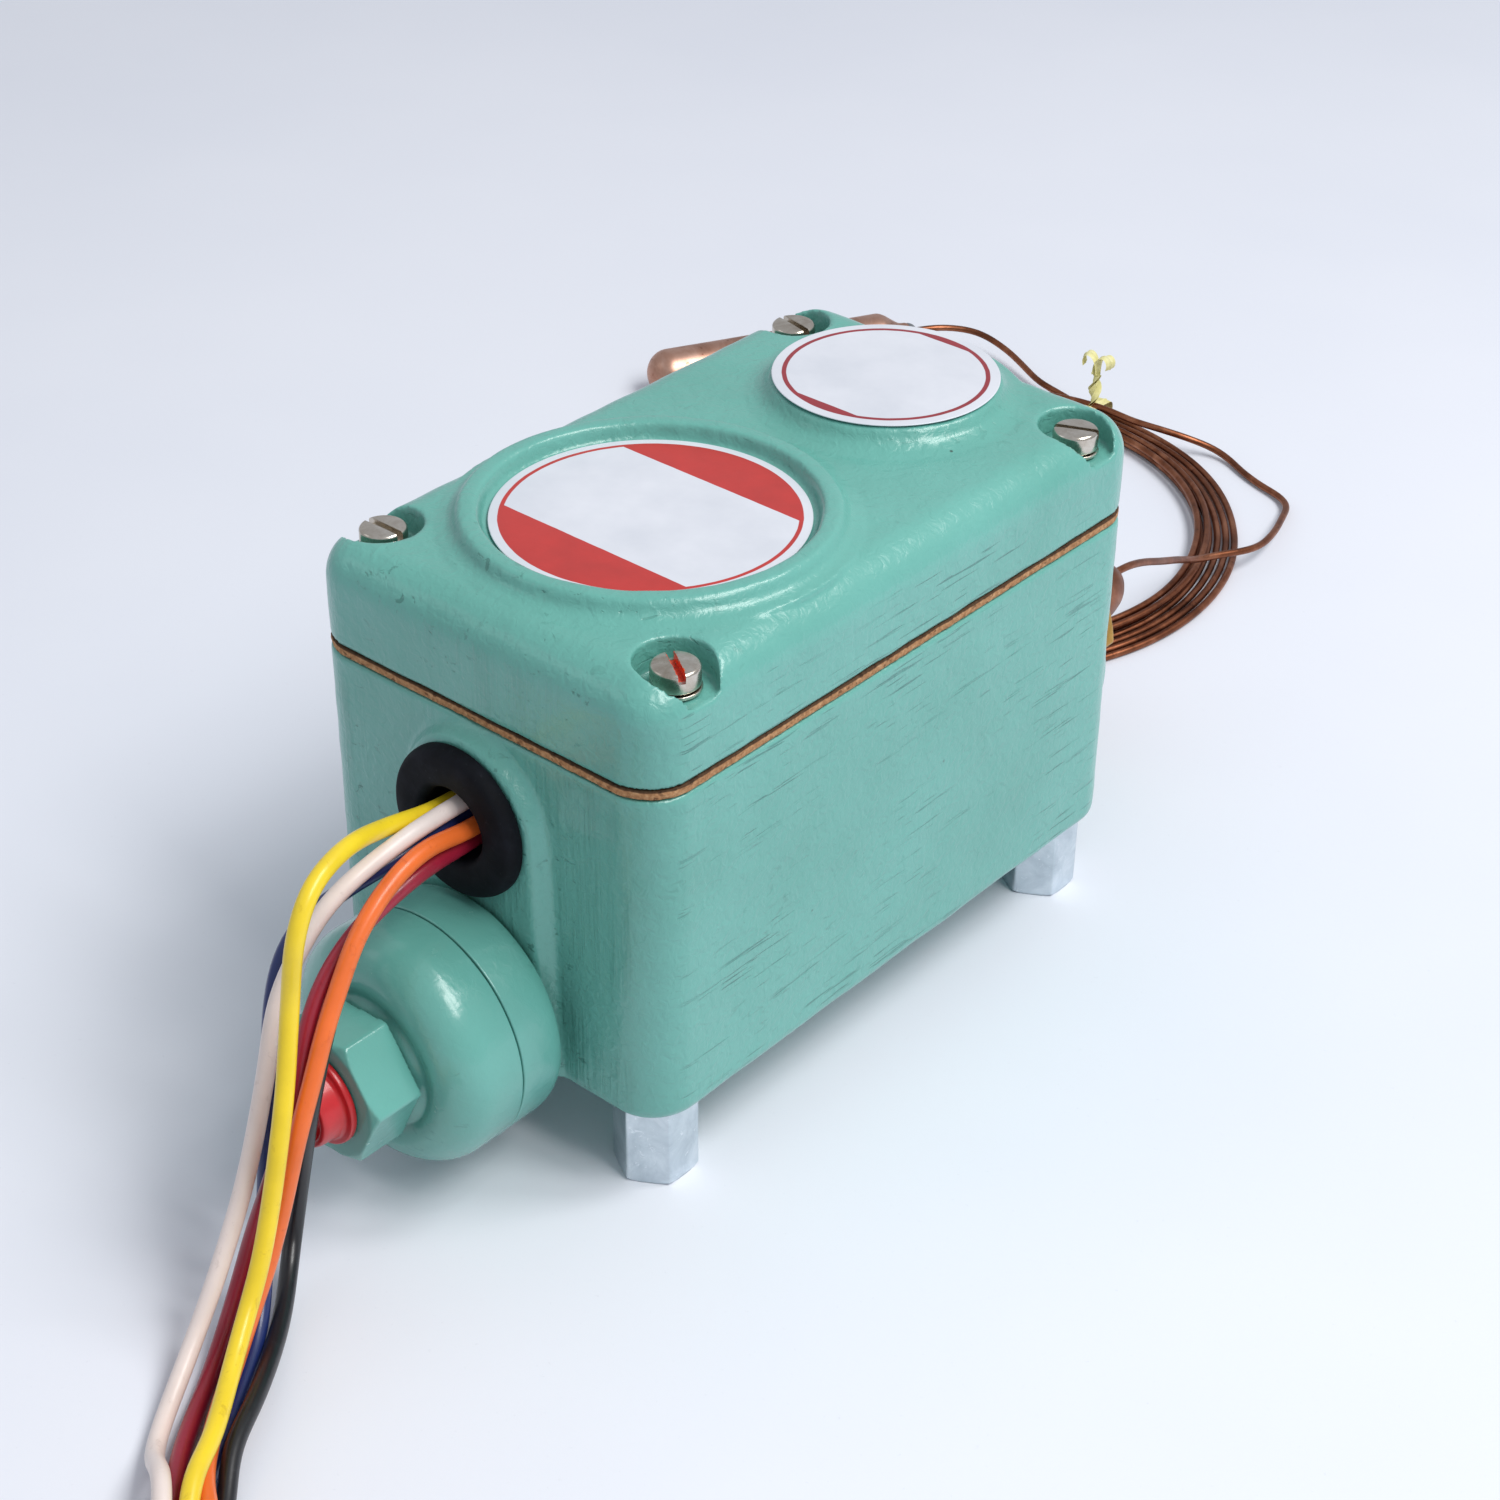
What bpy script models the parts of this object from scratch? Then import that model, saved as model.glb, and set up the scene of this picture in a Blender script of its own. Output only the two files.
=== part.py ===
"""Two-circuit pressure switch with a remote sensing bulb, as an assembly of its separate pieces.

Lengths below are in millimetres and are scaled to metres as each mesh is made.
Local frame: X across the short front face, Y from the pressure port to the rear
bellows, Z up from the surface that the four standoffs stand on, with the centre of
the housing on the Z axis. The root empty shifts that frame back a little, so that the
body without its free cords is centred on the world origin.
"""

import math

import bmesh
import bpy
from mathutils import Matrix, Vector

MM = 0.001
ROOT_SHIFT_Y = -6.0

# --- housing -----------------------------------------------------------------
WIDTH = 76.2
LENGTH = 127.0
CORNER_R = 8.5
WALL = 4.0
FLOOR_T = 5.0
BASE_Z0 = 15.9
BASE_Z1 = 79.0
BOTTOM_EDGE_R = 2.0
SCREW_X = 31.75
SCREW_Y = 51.5
BASE_LOBE_R = 6.5
COVER_LOBE_R = 8.6
GASKET_Z0, GASKET_Z1 = 79.3, 80.9
COVER_Z0, COVER_Z1 = 81.2, 98.6
COVER_EDGE_R = 7.0
COVER_CAVITY_Z = 94.4
POCKET_R, POCKET_Z = 6.6, 93.1
CLEAR_R = 2.7

# --- raised discs on the cover -----------------------------------------------
DIAL_Y = -22.2
DIAL_TOP_R, DIAL_BASE_R, DIAL_RIM_R = 31.0, 32.3, 28.0
DIAL_Z1, DIAL_FLOOR_Z = 101.8, 98.9
BOSS_Y, BOSS_R, BOSS_BASE_R, BOSS_Z1 = 38.6, 20.3, 22.2, 102.0
PLATE_LARGE_R, PLATE_SMALL_R, PLATE_T = 26.3, 20.0, 0.3

# --- fasteners and feet ------------------------------------------------------
HEAD_R, HEAD_H, SHANK_R = 3.97, 3.4, 2.3
SLOT_W, SLOT_D = 1.2, 1.5
STANDOFF_X, STANDOFF_Y, STANDOFF_AF, STANDOFF_H = 28.9, 54.0, 12.7, 15.6

# --- bellows units -----------------------------------------------------------
UNIT_Z = 27.3
DRUM_R = 21.3
HEX_AF = 22.2
PAD_CZ, PAD_R, PAD_FACE_R = 62.6, 16.0, 14.4
GROMMET_Z = 62.9

# --- mechanism ---------------------------------------------------------------
PIVOT_Y, PIVOT_Z = -12.0, 42.0
PLUNGER_X, PLUNGER_Z = 9.45, 62.0
SPRING_Z = 54.0

# --- free cords --------------------------------------------------------------
LEAD_D = 3.0
CAP_D = 1.6
COIL_X, COIL_Y = 65.8, -169.6
RING_X, RING_Y, RING_RO, RING_RI, RING_H = -73.0, 151.5, 71.3, 60.0, 4.2
COIL_COLUMNS = (13.35, 16.5, 19.65)
COIL_ROWS = (1.6, 7.8)
COIL_RI, COIL_RO, COIL_H = 11.7, 21.3, 12.5
COIL_HEADING = 40.46
BULB_R, BULB_LEN = 6.35, 72.0

# =============================================================================
# helpers


def clear_scene():
    for obj in list(bpy.data.objects):
        bpy.data.objects.remove(obj, do_unlink=True)


clear_scene()
SCENE = bpy.context.scene.collection
ROOT = bpy.data.objects.new("pressure_switch", None)
ROOT.location = (0.0, ROOT_SHIFT_Y * MM, 0.0)
SCENE.objects.link(ROOT)


def material(name, rgb, rough, metal=0.0):
    mat = bpy.data.materials.new(name)
    mat.use_nodes = True
    shader = mat.node_tree.nodes["Principled BSDF"]
    shader.inputs["Base Color"].default_value = (*rgb, 1.0)
    shader.inputs["Roughness"].default_value = rough
    shader.inputs["Metallic"].default_value = metal
    mat.diffuse_color = (*rgb, 1.0)
    return mat


PAINT = material("sea_green_paint", (0.16, 0.42, 0.36), 0.4)
CORK = material("cork", (0.50, 0.37, 0.24), 0.9)
NICKEL = material("nickel_screw", (0.66, 0.62, 0.58), 0.28, 1.0)
ZINC = material("zinc_steel", (0.45, 0.46, 0.45), 0.4, 1.0)
BRASS = material("brass", (0.68, 0.47, 0.19), 0.3, 1.0)
COPPER = material("aged_copper", (0.36, 0.18, 0.11), 0.45, 1.0)
BRIGHT_COPPER = material("bright_copper", (0.72, 0.38, 0.25), 0.35, 1.0)
RUBBER = material("black_rubber", (0.02, 0.02, 0.02), 0.75)
PLATE = material("label_white", (0.83, 0.83, 0.81), 0.5)
RED_PLASTIC = material("red_plastic", (0.55, 0.03, 0.04), 0.35)
PHENOLIC = material("black_phenolic", (0.03, 0.025, 0.022), 0.4)
STEEL = material("bright_steel", (0.55, 0.55, 0.54), 0.35, 1.0)
SPRING = material("spring_steel", (0.5, 0.5, 0.5), 0.3, 1.0)
PHOSPHOR = material("phosphor_bronze", (0.62, 0.40, 0.20), 0.35, 1.0)
TIE = material("paper_tie", (0.75, 0.70, 0.42), 0.8)


def finish(name, bm, mat, origin=(0.0, 0.0, 0.0), parent=ROOT):
    """One object from a bmesh in local millimetres; its origin goes to the given point."""
    bmesh.ops.remove_doubles(bm, verts=bm.verts, dist=1e-4)
    bmesh.ops.recalc_face_normals(bm, faces=bm.faces)
    if bm.calc_volume(signed=True) < 0:
        bmesh.ops.reverse_faces(bm, faces=bm.faces)
    bm.transform(Matrix.Translation(-Vector(origin)))
    bm.transform(Matrix.Scale(MM, 4))
    mesh = bpy.data.meshes.new(name)
    bm.to_mesh(mesh)
    bm.free()
    mesh.shade_smooth()
    mesh.set_sharp_from_angle(angle=math.radians(32))
    obj = bpy.data.objects.new(name, mesh)
    obj.location = Vector(origin) * MM
    obj.parent = parent
    SCENE.objects.link(obj)
    if mat is not None:
        mesh.materials.append(mat)
    return obj


def combine(obj, other, operation="DIFFERENCE"):
    """A Boolean modifier whose operand is kept as a hidden guide."""
    other.hide_render = True
    other.display_type = "WIRE"
    mod = obj.modifiers.new(f"{operation.lower()}_{len(obj.modifiers)}", "BOOLEAN")
    mod.operation = operation
    mod.solver = "EXACT"
    mod.object = other
    return obj


def ring_of(bm, points):
    return [bm.verts.new(p) for p in points]


def skin(bm, rings, cap=True):
    """Quads between rings that hold equal numbers of vertices, with n-gon ends."""
    for a, b in zip(rings, rings[1:]):
        n = len(a)
        for i in range(n):
            bm.faces.new((a[i], a[(i + 1) % n], b[(i + 1) % n], b[i]))
    if cap:
        bm.faces.new(list(reversed(rings[0])))
        bm.faces.new(rings[-1])


def rounded_rect(half_x, half_y, r, steps=5):
    """Outline of a rectangle with round corners, anticlockwise."""
    out = []
    for cx, cy, a0 in (
        (half_x - r, half_y - r, 0),
        (-half_x + r, half_y - r, 90),
        (-half_x + r, -half_y + r, 180),
        (half_x - r, -half_y + r, 270),
    ):
        for i in range(steps + 1):
            a = math.radians(a0 + 90.0 * i / steps)
            out.append((cx + r * math.cos(a), cy + r * math.sin(a)))
    return out


def circle(r, steps, cx=0.0, cy=0.0, turn=0.0):
    return [
        (
            cx + r * math.cos(turn + 2 * math.pi * i / steps),
            cy + r * math.sin(turn + 2 * math.pi * i / steps),
        )
        for i in range(steps)
    ]


def hexagon(across_flats, turn_deg=0.0, cx=0.0, cy=0.0):
    return circle(across_flats / math.sqrt(3.0), 6, cx, cy, math.radians(turn_deg))


def bm_prism(outline, z0, z1, bm=None):
    bm = bm or bmesh.new()
    skin(
        bm,
        [ring_of(bm, [(x, y, z) for x, y in outline]) for z in (z0, z1)],
    )
    return bm


def bm_box(x0, x1, y0, y1, z0, z1, bm=None):
    return bm_prism([(x0, y0), (x1, y0), (x1, y1), (x0, y1)], z0, z1, bm)


def axis_matrix(axis, centre):
    """Takes +Z of a turned or extruded shape to the named axis, at the given point."""
    turn = {
        "+Z": Matrix.Identity(4),
        "+X": Matrix.Rotation(math.radians(90), 4, "Y"),
        "+Y": Matrix.Rotation(math.radians(-90), 4, "X"),
        "-Y": Matrix.Rotation(math.radians(90), 4, "X"),
    }[axis]
    return Matrix.Translation(Vector(centre)) @ turn


def bm_turned(profile, steps, axis="+Z", centre=(0, 0, 0), closed=None, bm=None):
    """A profile of (radius, height) spun once about its axis. A profile that starts and
    ends on the axis closes by itself; any other is a ring and is joined end to end."""
    new = bmesh.new()
    on_axis = profile[0][0] < 1e-9 and profile[-1][0] < 1e-9
    if closed is None:
        closed = not on_axis
    verts = [new.verts.new((r, 0.0, h)) for r, h in profile]
    edges = [new.edges.new(pair) for pair in zip(verts, verts[1:])]
    if closed:
        edges.append(new.edges.new((verts[-1], verts[0])))
    bmesh.ops.spin(
        new,
        geom=verts + edges,
        cent=(0, 0, 0),
        axis=(0, 0, 1),
        angle=2 * math.pi,
        steps=steps,
        use_merge=True,
    )
    bmesh.ops.remove_doubles(new, verts=new.verts, dist=1e-4)
    loose = [f for f in new.faces if f.calc_area() < 1e-9]
    if loose:
        bmesh.ops.dissolve_degenerate(new, dist=1e-5, edges=new.edges)
    new.transform(axis_matrix(axis, centre))
    if bm is None:
        return new
    mesh = bpy.data.meshes.new("part")
    new.to_mesh(mesh)
    new.free()
    bm.from_mesh(mesh)
    bpy.data.meshes.remove(mesh)
    return bm


def turned(name, profile, steps, mat, axis="+Z", centre=(0, 0, 0), origin=None):
    return finish(
        name,
        bm_turned(profile, steps, axis, centre),
        mat,
        origin if origin is not None else (0, 0, 0),
    )


def arc(cx, cy, r, a0, a1, steps):
    return [
        (
            cx + r * math.cos(math.radians(a0 + (a1 - a0) * i / steps)),
            cy + r * math.sin(math.radians(a0 + (a1 - a0) * i / steps)),
        )
        for i in range(steps + 1)
    ]


def hex_solid(across_flats, z0, z1, chamfer, turn_deg, axis, centre):
    """A hexagonal prism with its corners eased at both ends."""
    bm = bmesh.new()
    rings = []
    for cut, z in ((chamfer * 1.6, z0), (0.0, z0 + chamfer), (0.0, z1 - chamfer), (chamfer * 1.6, z1)):
        rings.append(ring_of(bm, [(x, y, z) for x, y in hexagon(across_flats - cut, turn_deg)]))
    skin(bm, rings)
    bm.transform(axis_matrix(axis, centre))
    return finish("hex_blank", bm, None)


def drill(obj, r, z0, z1, axis="+Z", centre=(0, 0, 0), steps=24):
    bm = bm_prism(circle(r, steps), z0, z1)
    bm.transform(axis_matrix(axis, centre))
    return combine(obj, finish("drill", bm, None))


def smooth_route(points, spacing):
    """Centripetal spline through the route's points, read off at equal spacing."""
    pts = [Vector(p) for p in points]
    pts = [2 * pts[0] - pts[1]] + pts + [2 * pts[-1] - pts[-2]]
    fine = []
    for p0, p1, p2, p3 in zip(pts, pts[1:], pts[2:], pts[3:]):
        t0 = 0.0
        t1 = t0 + (p1 - p0).length ** 0.5
        t2 = t1 + (p2 - p1).length ** 0.5
        t3 = t2 + (p3 - p2).length ** 0.5
        for i in range(24):
            t = t1 + (t2 - t1) * i / 24.0
            a1 = p0 * ((t1 - t) / (t1 - t0)) + p1 * ((t - t0) / (t1 - t0))
            a2 = p1 * ((t2 - t) / (t2 - t1)) + p2 * ((t - t1) / (t2 - t1))
            a3 = p2 * ((t3 - t) / (t3 - t2)) + p3 * ((t - t2) / (t3 - t2))
            b1 = a1 * ((t2 - t) / (t2 - t0)) + a2 * ((t - t0) / (t2 - t0))
            b2 = a2 * ((t3 - t) / (t3 - t1)) + a3 * ((t - t1) / (t3 - t1))
            fine.append(b1 * ((t2 - t) / (t2 - t1)) + b2 * ((t - t1) / (t2 - t1)))
    fine.append(Vector(points[-1]))
    run = [0.0]
    for a, b in zip(fine, fine[1:]):
        run.append(run[-1] + (b - a).length)
    count = max(2, round(run[-1] / spacing))
    out, j = [], 0
    for i in range(count + 1):
        s = run[-1] * i / count
        while j < len(run) - 2 and run[j + 1] < s:
            j += 1
        f = (s - run[j]) / max(1e-9, run[j + 1] - run[j])
        out.append(fine[j].lerp(fine[j + 1], min(1.0, max(0.0, f))))
    return out


def tube(name, points, diameter, mat, resolution=2):
    """A round wire along the points: a poly curve with a bevel and filled caps."""
    data = bpy.data.curves.new(name, "CURVE")
    data.dimensions = "3D"
    data.bevel_depth = diameter * 0.5 * MM
    data.bevel_resolution = resolution
    data.use_fill_caps = True
    spline = data.splines.new("POLY")
    spline.points.add(len(points) - 1)
    for point, co in zip(spline.points, points):
        point.co = (co[0] * MM, co[1] * MM, co[2] * MM, 1.0)
    data.materials.append(mat)
    obj = bpy.data.objects.new(name, data)
    obj.parent = ROOT
    SCENE.objects.link(obj)
    return obj


def inner_outline(lobe_r, half_x, half_y):
    """Inside outline of the housing: a rectangle whose corners step in round the screw bosses."""
    reach = math.degrees(math.acos((half_x - SCREW_X) / lobe_r))
    quarter = [(half_x, SCREW_Y - lobe_r * math.sin(math.radians(reach)))]
    quarter += arc(SCREW_X, SCREW_Y, lobe_r, -reach, -180.0, 7)[1:]
    quarter += [(SCREW_X - lobe_r, half_y)]
    out = []
    for sx, sy, back in ((1, 1, False), (-1, 1, True), (-1, -1, False), (1, -1, True)):
        pts = [(sx * x, sy * y) for x, y in quarter]
        out += list(reversed(pts)) if back else pts
    return out


CORNERS = (("front_left", -1, -1), ("front_right", 1, -1), ("rear_left", -1, 1), ("rear_right", 1, 1))

# =============================================================================
# base housing


def arch(r, cz, foot_half, z_foot, steps=14):
    """Outline in X and Z of a round-topped pad whose sides run down to the foot."""
    top = arc(0.0, cz, r, 0.0, 180.0, steps)
    return [(foot_half, z_foot)] + top + [(-foot_half, z_foot)]


def pad(y_wall, y_face, cz, r_wall, r_face, foot_wall, foot_face, z_foot):
    """The pad as stacked arches, its outer edge rolled over."""
    sign = 1 if y_face > y_wall else -1
    bm = bmesh.new()
    rings = []
    for y, r, foot, dz in (
        (y_wall - sign * 1.5, r_wall, foot_wall, 0.0),
        (y_wall, r_wall, foot_wall, 0.0),
        (y_face - sign * 1.0, r_face + 0.35, foot_face + 0.35, 0.3),
        (y_face - sign * 0.3, r_face - 0.1, foot_face - 0.1, 0.6),
        (y_face, r_face - 0.8, foot_face - 0.8, 1.0),
    ):
        rings.append(ring_of(bm, [(x, y, z) for x, z in arch(r, cz, foot, z_foot + dz)]))
    skin(bm, rings)
    return finish("pad_blank", bm, None)


def base_housing():
    bm = bmesh.new()
    rings = []
    for inset, z in (
        (BOTTOM_EDGE_R, BASE_Z0),
        (BOTTOM_EDGE_R * 0.42, BASE_Z0 + BOTTOM_EDGE_R * 0.18),
        (BOTTOM_EDGE_R * 0.1, BASE_Z0 + BOTTOM_EDGE_R * 0.6),
        (0.0, BASE_Z0 + BOTTOM_EDGE_R * 1.15),
        (0.0, BASE_Z1 - 0.4),
        (0.4, BASE_Z1),
    ):
        rings.append(
            ring_of(
                bm,
                [
                    (x, y, z)
                    for x, y in rounded_rect(
                        WIDTH / 2 - inset, LENGTH / 2 - inset, CORNER_R - inset
                    )
                ],
            )
        )
    skin(bm, rings)
    base = finish("base_housing", bm, PAINT)
    combine(base, pad(-63.5, -66.5, PAD_CZ, PAD_R, PAD_FACE_R, 18.0, 15.5, 17.2), "UNION")
    combine(base, pad(63.5, 66.5, 34.0, 17.5, 16.0, 17.5, 16.0, 17.2), "UNION")
    hollow = bm_prism(
        inner_outline(BASE_LOBE_R, WIDTH / 2 - WALL, LENGTH / 2 - WALL),
        BASE_Z0 + FLOOR_T,
        BASE_Z1 + 3,
    )
    combine(base, finish("base_hollow", hollow, None))
    for _, sx, sy in CORNERS:
        drill(base, CLEAR_R, 60.0, 84.0, centre=(sx * SCREW_X, sy * SCREW_Y, 0), steps=12)
        drill(base, 2.7, 12.0, 25.0, centre=(sx * STANDOFF_X, sy * STANDOFF_Y, 0), steps=10)
    drill(base, 11.1, 55.0, 72.0, "-Y", (0, 0, GROMMET_Z), 24)
    drill(base, 10.2, 55.0, 72.0, "-Y", (0, 0, UNIT_Z), 24)
    drill(base, 10.2, 55.0, 72.0, "+Y", (0, 0, UNIT_Z), 24)
    for x, y in BRACKET_SCREWS:
        drill(base, 1.8, 17.6, 24.0, centre=(x, y, 0), steps=12)
    return base


BRACKET_SCREWS = ((-24.5, -30.0), (24.5, 30.0))
base_housing()

# =============================================================================
# gasket and cover


def cover_gasket():
    outer = rounded_rect(WIDTH / 2 - 0.15, LENGTH / 2 - 0.15, CORNER_R - 0.15)
    gasket = finish("cover_gasket", bm_prism(outer, GASKET_Z0, GASKET_Z1), CORK)
    hollow = bm_prism(
        inner_outline(BASE_LOBE_R + 0.4, WIDTH / 2 - WALL - 0.4, LENGTH / 2 - WALL - 0.4),
        GASKET_Z0 - 2,
        GASKET_Z1 + 2,
    )
    combine(gasket, finish("gasket_window", hollow, None))
    for _, sx, sy in CORNERS:
        drill(gasket, CLEAR_R, 70.0, 90.0, centre=(sx * SCREW_X, sy * SCREW_Y, 0), steps=12)
    return gasket


def cover():
    bm = bmesh.new()
    rings = []
    levels = [(0.3, COVER_Z0), (0.0, COVER_Z0 + 0.3)]
    for i in range(7):
        a = math.radians(90.0 * i / 6)
        levels.append(
            (
                COVER_EDGE_R * (1 - math.cos(a)),
                COVER_Z1 - COVER_EDGE_R * (1 - math.sin(a)),
            )
        )
    for inset, z in levels:
        rings.append(
            ring_of(
                bm,
                [
                    (x, y, z)
                    for x, y in rounded_rect(
                        WIDTH / 2 - inset, LENGTH / 2 - inset, CORNER_R - inset
                    )
                ],
            )
        )
    skin(bm, rings)
    top = finish("cover", bm, PAINT)
    dial = [
        (0, 95.6),
        (DIAL_BASE_R, 95.6),
        (DIAL_BASE_R, COVER_Z1 + 0.4),
        (DIAL_TOP_R + 0.35, DIAL_Z1 - 0.9),
        (DIAL_TOP_R - 0.6, DIAL_Z1),
        (DIAL_RIM_R, DIAL_Z1),
        (DIAL_RIM_R - 0.75, DIAL_FLOOR_Z),
        (0, DIAL_FLOOR_Z),
    ]
    combine(top, turned("dial_blank", dial, 36, None, centre=(0, DIAL_Y, 0)), "UNION")
    boss = [
        (0, 95.4),
        (BOSS_BASE_R + 0.8, 95.4),
        (BOSS_BASE_R + 0.8, COVER_Z1 + 0.3),
        (BOSS_R + 0.6, COVER_Z1 + 1.5),
        (BOSS_R + 0.25, BOSS_Z1 - 0.6),
        (BOSS_R - 0.4, BOSS_Z1),
        (0, BOSS_Z1),
    ]
    combine(top, turned("boss_blank", boss, 28, None, centre=(0, BOSS_Y, 0)), "UNION")
    hollow = bm_prism(
        inner_outline(COVER_LOBE_R, WIDTH / 2 - WALL, LENGTH / 2 - WALL),
        COVER_Z0 - 3,
        COVER_CAVITY_Z,
    )
    combine(top, finish("cover_hollow", hollow, None))
    for _, sx, sy in CORNERS:
        drill(top, POCKET_R, POCKET_Z, 110.0, centre=(sx * SCREW_X, sy * SCREW_Y, 0), steps=24)
        drill(top, CLEAR_R, 78.0, 96.0, centre=(sx * SCREW_X, sy * SCREW_Y, 0), steps=12)
    return top


cover_gasket()
cover()

# =============================================================================
# cover screws, lock washers, nameplates

SLOT_TURN = {"front_left": 1.0, "front_right": -33.0, "rear_left": -13.0, "rear_right": 24.0}
HEAD_Z0 = POCKET_Z + 1.3


def slotted_screw(name, x, y, turn_deg):
    z1 = HEAD_Z0 + HEAD_H
    profile = [
        (0, 63.0),
        (SHANK_R - 0.6, 63.0),
        (SHANK_R, 63.8),
        (SHANK_R, HEAD_Z0),
        (HEAD_R, HEAD_Z0),
        (HEAD_R, z1 - 0.5),
        (HEAD_R - 0.4, z1),
        (0, z1 + 0.1),
    ]
    screw = turned(name, profile, 14, NICKEL, centre=(x, y, 0))
    slot = bm_box(-6, 6, -SLOT_W / 2, SLOT_W / 2, z1 - SLOT_D, z1 + 2)
    slot.transform(
        Matrix.Translation((x, y, 0)) @ Matrix.Rotation(math.radians(turn_deg), 4, "Z")
    )
    combine(screw, finish("slot", slot, None))


for corner, sx, sy in CORNERS:
    cx, cy = sx * SCREW_X, sy * SCREW_Y
    slotted_screw(f"cover_screw_{corner}", cx, cy, SLOT_TURN[corner])
    turned(
        f"lock_washer_{corner}",
        [(2.7, POCKET_Z + 0.3), (4.2, POCKET_Z + 0.3), (4.2, POCKET_Z + 1.0), (2.7, POCKET_Z + 1.0)],
        16,
        NICKEL,
        centre=(cx, cy, 0),
    )

turned(
    "nameplate_large",
    [(0, DIAL_FLOOR_Z + 0.3), (PLATE_LARGE_R, DIAL_FLOOR_Z + 0.3), (PLATE_LARGE_R, DIAL_FLOOR_Z + 0.3 + PLATE_T), (0, DIAL_FLOOR_Z + 0.3 + PLATE_T)],
    40,
    PLATE,
    centre=(0, DIAL_Y, 0),
)
turned(
    "nameplate_small",
    [(0, BOSS_Z1 + 0.3), (PLATE_SMALL_R, BOSS_Z1 + 0.3), (PLATE_SMALL_R, BOSS_Z1 + 0.3 + PLATE_T), (0, BOSS_Z1 + 0.3 + PLATE_T)],
    36,
    PLATE,
    centre=(0, BOSS_Y, 0),
)

# =============================================================================
# wire grommet, standoffs

turned(
    "wire_grommet",
    [
        (6.4, 61.0),
        (9.0, 56.5),
        (12.0, 56.5),
        (12.4, 57.0),
        (12.4, 59.2),
        (10.8, 59.2),
        (10.8, 66.8),
        (13.4, 66.8),
        (13.2, 68.7),
        (12.2, 69.7),
        (10.6, 70.2),
        (6.9, 70.2),
        (6.4, 69.7),
    ],
    22,
    RUBBER,
    "-Y",
    (0, 0, GROMMET_Z),
)

for corner, sx, sy in CORNERS:
    foot = hex_solid(
        STANDOFF_AF, 0.0, STANDOFF_H, 0.6, 31.0, "+Z", (sx * STANDOFF_X, sy * STANDOFF_Y, 0)
    )
    foot.name = f"hex_standoff_{corner}"
    foot.data.materials.append(ZINC)
    stud = turned(
        "stud_blank",
        [(0, STANDOFF_H - 2), (2.4, STANDOFF_H - 2), (2.4, 23.2), (1.8, 24.0), (0, 24.0)],
        10,
        None,
        centre=(sx * STANDOFF_X, sy * STANDOFF_Y, 0),
    )
    combine(foot, stud, "UNION")
    drill(foot, 2.5, -2.0, 10.0, centre=(sx * STANDOFF_X, sy * STANDOFF_Y, 0), steps=10)

# =============================================================================
# bellows units: the same two-piece drum at the front and at the rear


def drum_base(name, axis, mat):
    """Rear half of the drum, with the neck that goes through the housing wall."""
    profile = [
        (4.0, 60.0),
        (9.8, 60.0),
        (9.8, 66.8),
        (19.6, 66.8),
        (20.8, 67.3),
        (DRUM_R, 68.6),
        (DRUM_R, 76.3),
        (17.5, 76.3),
        (17.5, 69.8),
        (4.0, 69.8),
    ]
    return turned(name, profile, 24, mat, axis, (0, 0, UNIT_Z))


def drum_cup(name, axis, mat):
    """Outer half of the drum: round shoulder, shallow dish, neck with the fitting's bore."""
    shoulder = arc(DRUM_R - 7.3, 82.4, 7.3, 0.0, 82.0, 4)
    profile = [(7.2, 86.4), (12.0, 86.4), (17.5, 83.0), (17.5, 76.7)]
    profile += [(DRUM_R, 76.7)]
    profile += [(r, h) for r, h in shoulder]
    profile += [(13.4, 89.2), (11.6, 88.8), (10.4, 90.0), (7.2, 90.0)]
    return turned(name, profile, 24, mat, axis, (0, 0, UNIT_Z))


drum_base("pressure_bellows_base", "-Y", PAINT)
drum_cup("pressure_bellows_cup", "-Y", PAINT)
drum_base("comp_bellows_base", "+Y", PAINT)
drum_cup("comp_bellows_cup", "+Y", PAINT)


def hex_fitting(name, axis, z1, bore, turn_deg, mat):
    body = hex_solid(HEX_AF, 90.6, z1, 0.9, turn_deg, axis, (0, 0, UNIT_Z))
    body.name = name
    body.data.materials.append(mat)
    shank = turned(
        "shank_blank",
        [(0, 86.3), (6.5, 86.3), (6.9, 86.8), (6.9, 92.0), (0, 92.0)],
        20,
        None,
        axis,
        (0, 0, UNIT_Z),
    )
    combine(body, shank, "UNION")
    return drill(body, bore, 80.0, 110.0, axis, (0, 0, UNIT_Z), 18)


hex_fitting("pressure_port_fitting", "-Y", 100.3, 5.6, 4.1, PAINT)
hex_fitting("comp_hex_fitting", "+Y", 101.5, 4.2, 12.0, BRASS)

turned(
    "port_cap_plug",
    [
        (0, 94.0),
        (4.8, 94.0),
        (5.3, 100.6),
        (8.5, 100.6),
        (8.5, 101.5),
        (8.2, 101.8),
        (7.1, 101.9),
        (6.8, 105.6),
        (6.5, 106.0),
        (5.7, 106.0),
        (5.4, 105.7),
        (5.4, 102.4),
        (4.8, 101.6),
        (0, 101.6),
    ],
    18,
    RED_PLASTIC,
    "-Y",
    (0, 0, UNIT_Z),
    origin=(0, -100.6, UNIT_Z),
)

turned(
    "capillary_hub",
    [
        (0, 97.0),
        (3.8, 97.0),
        (3.8, 101.8),
        (6.9, 101.8),
        (6.9, 106.4),
        (6.5, 110.4),
        (5.4, 114.2),
        (3.6, 117.0),
        (1.7, 118.0),
        (0, 118.0),
    ],
    18,
    COPPER,
    "+Y",
    (0, 0, UNIT_Z),
)


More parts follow.
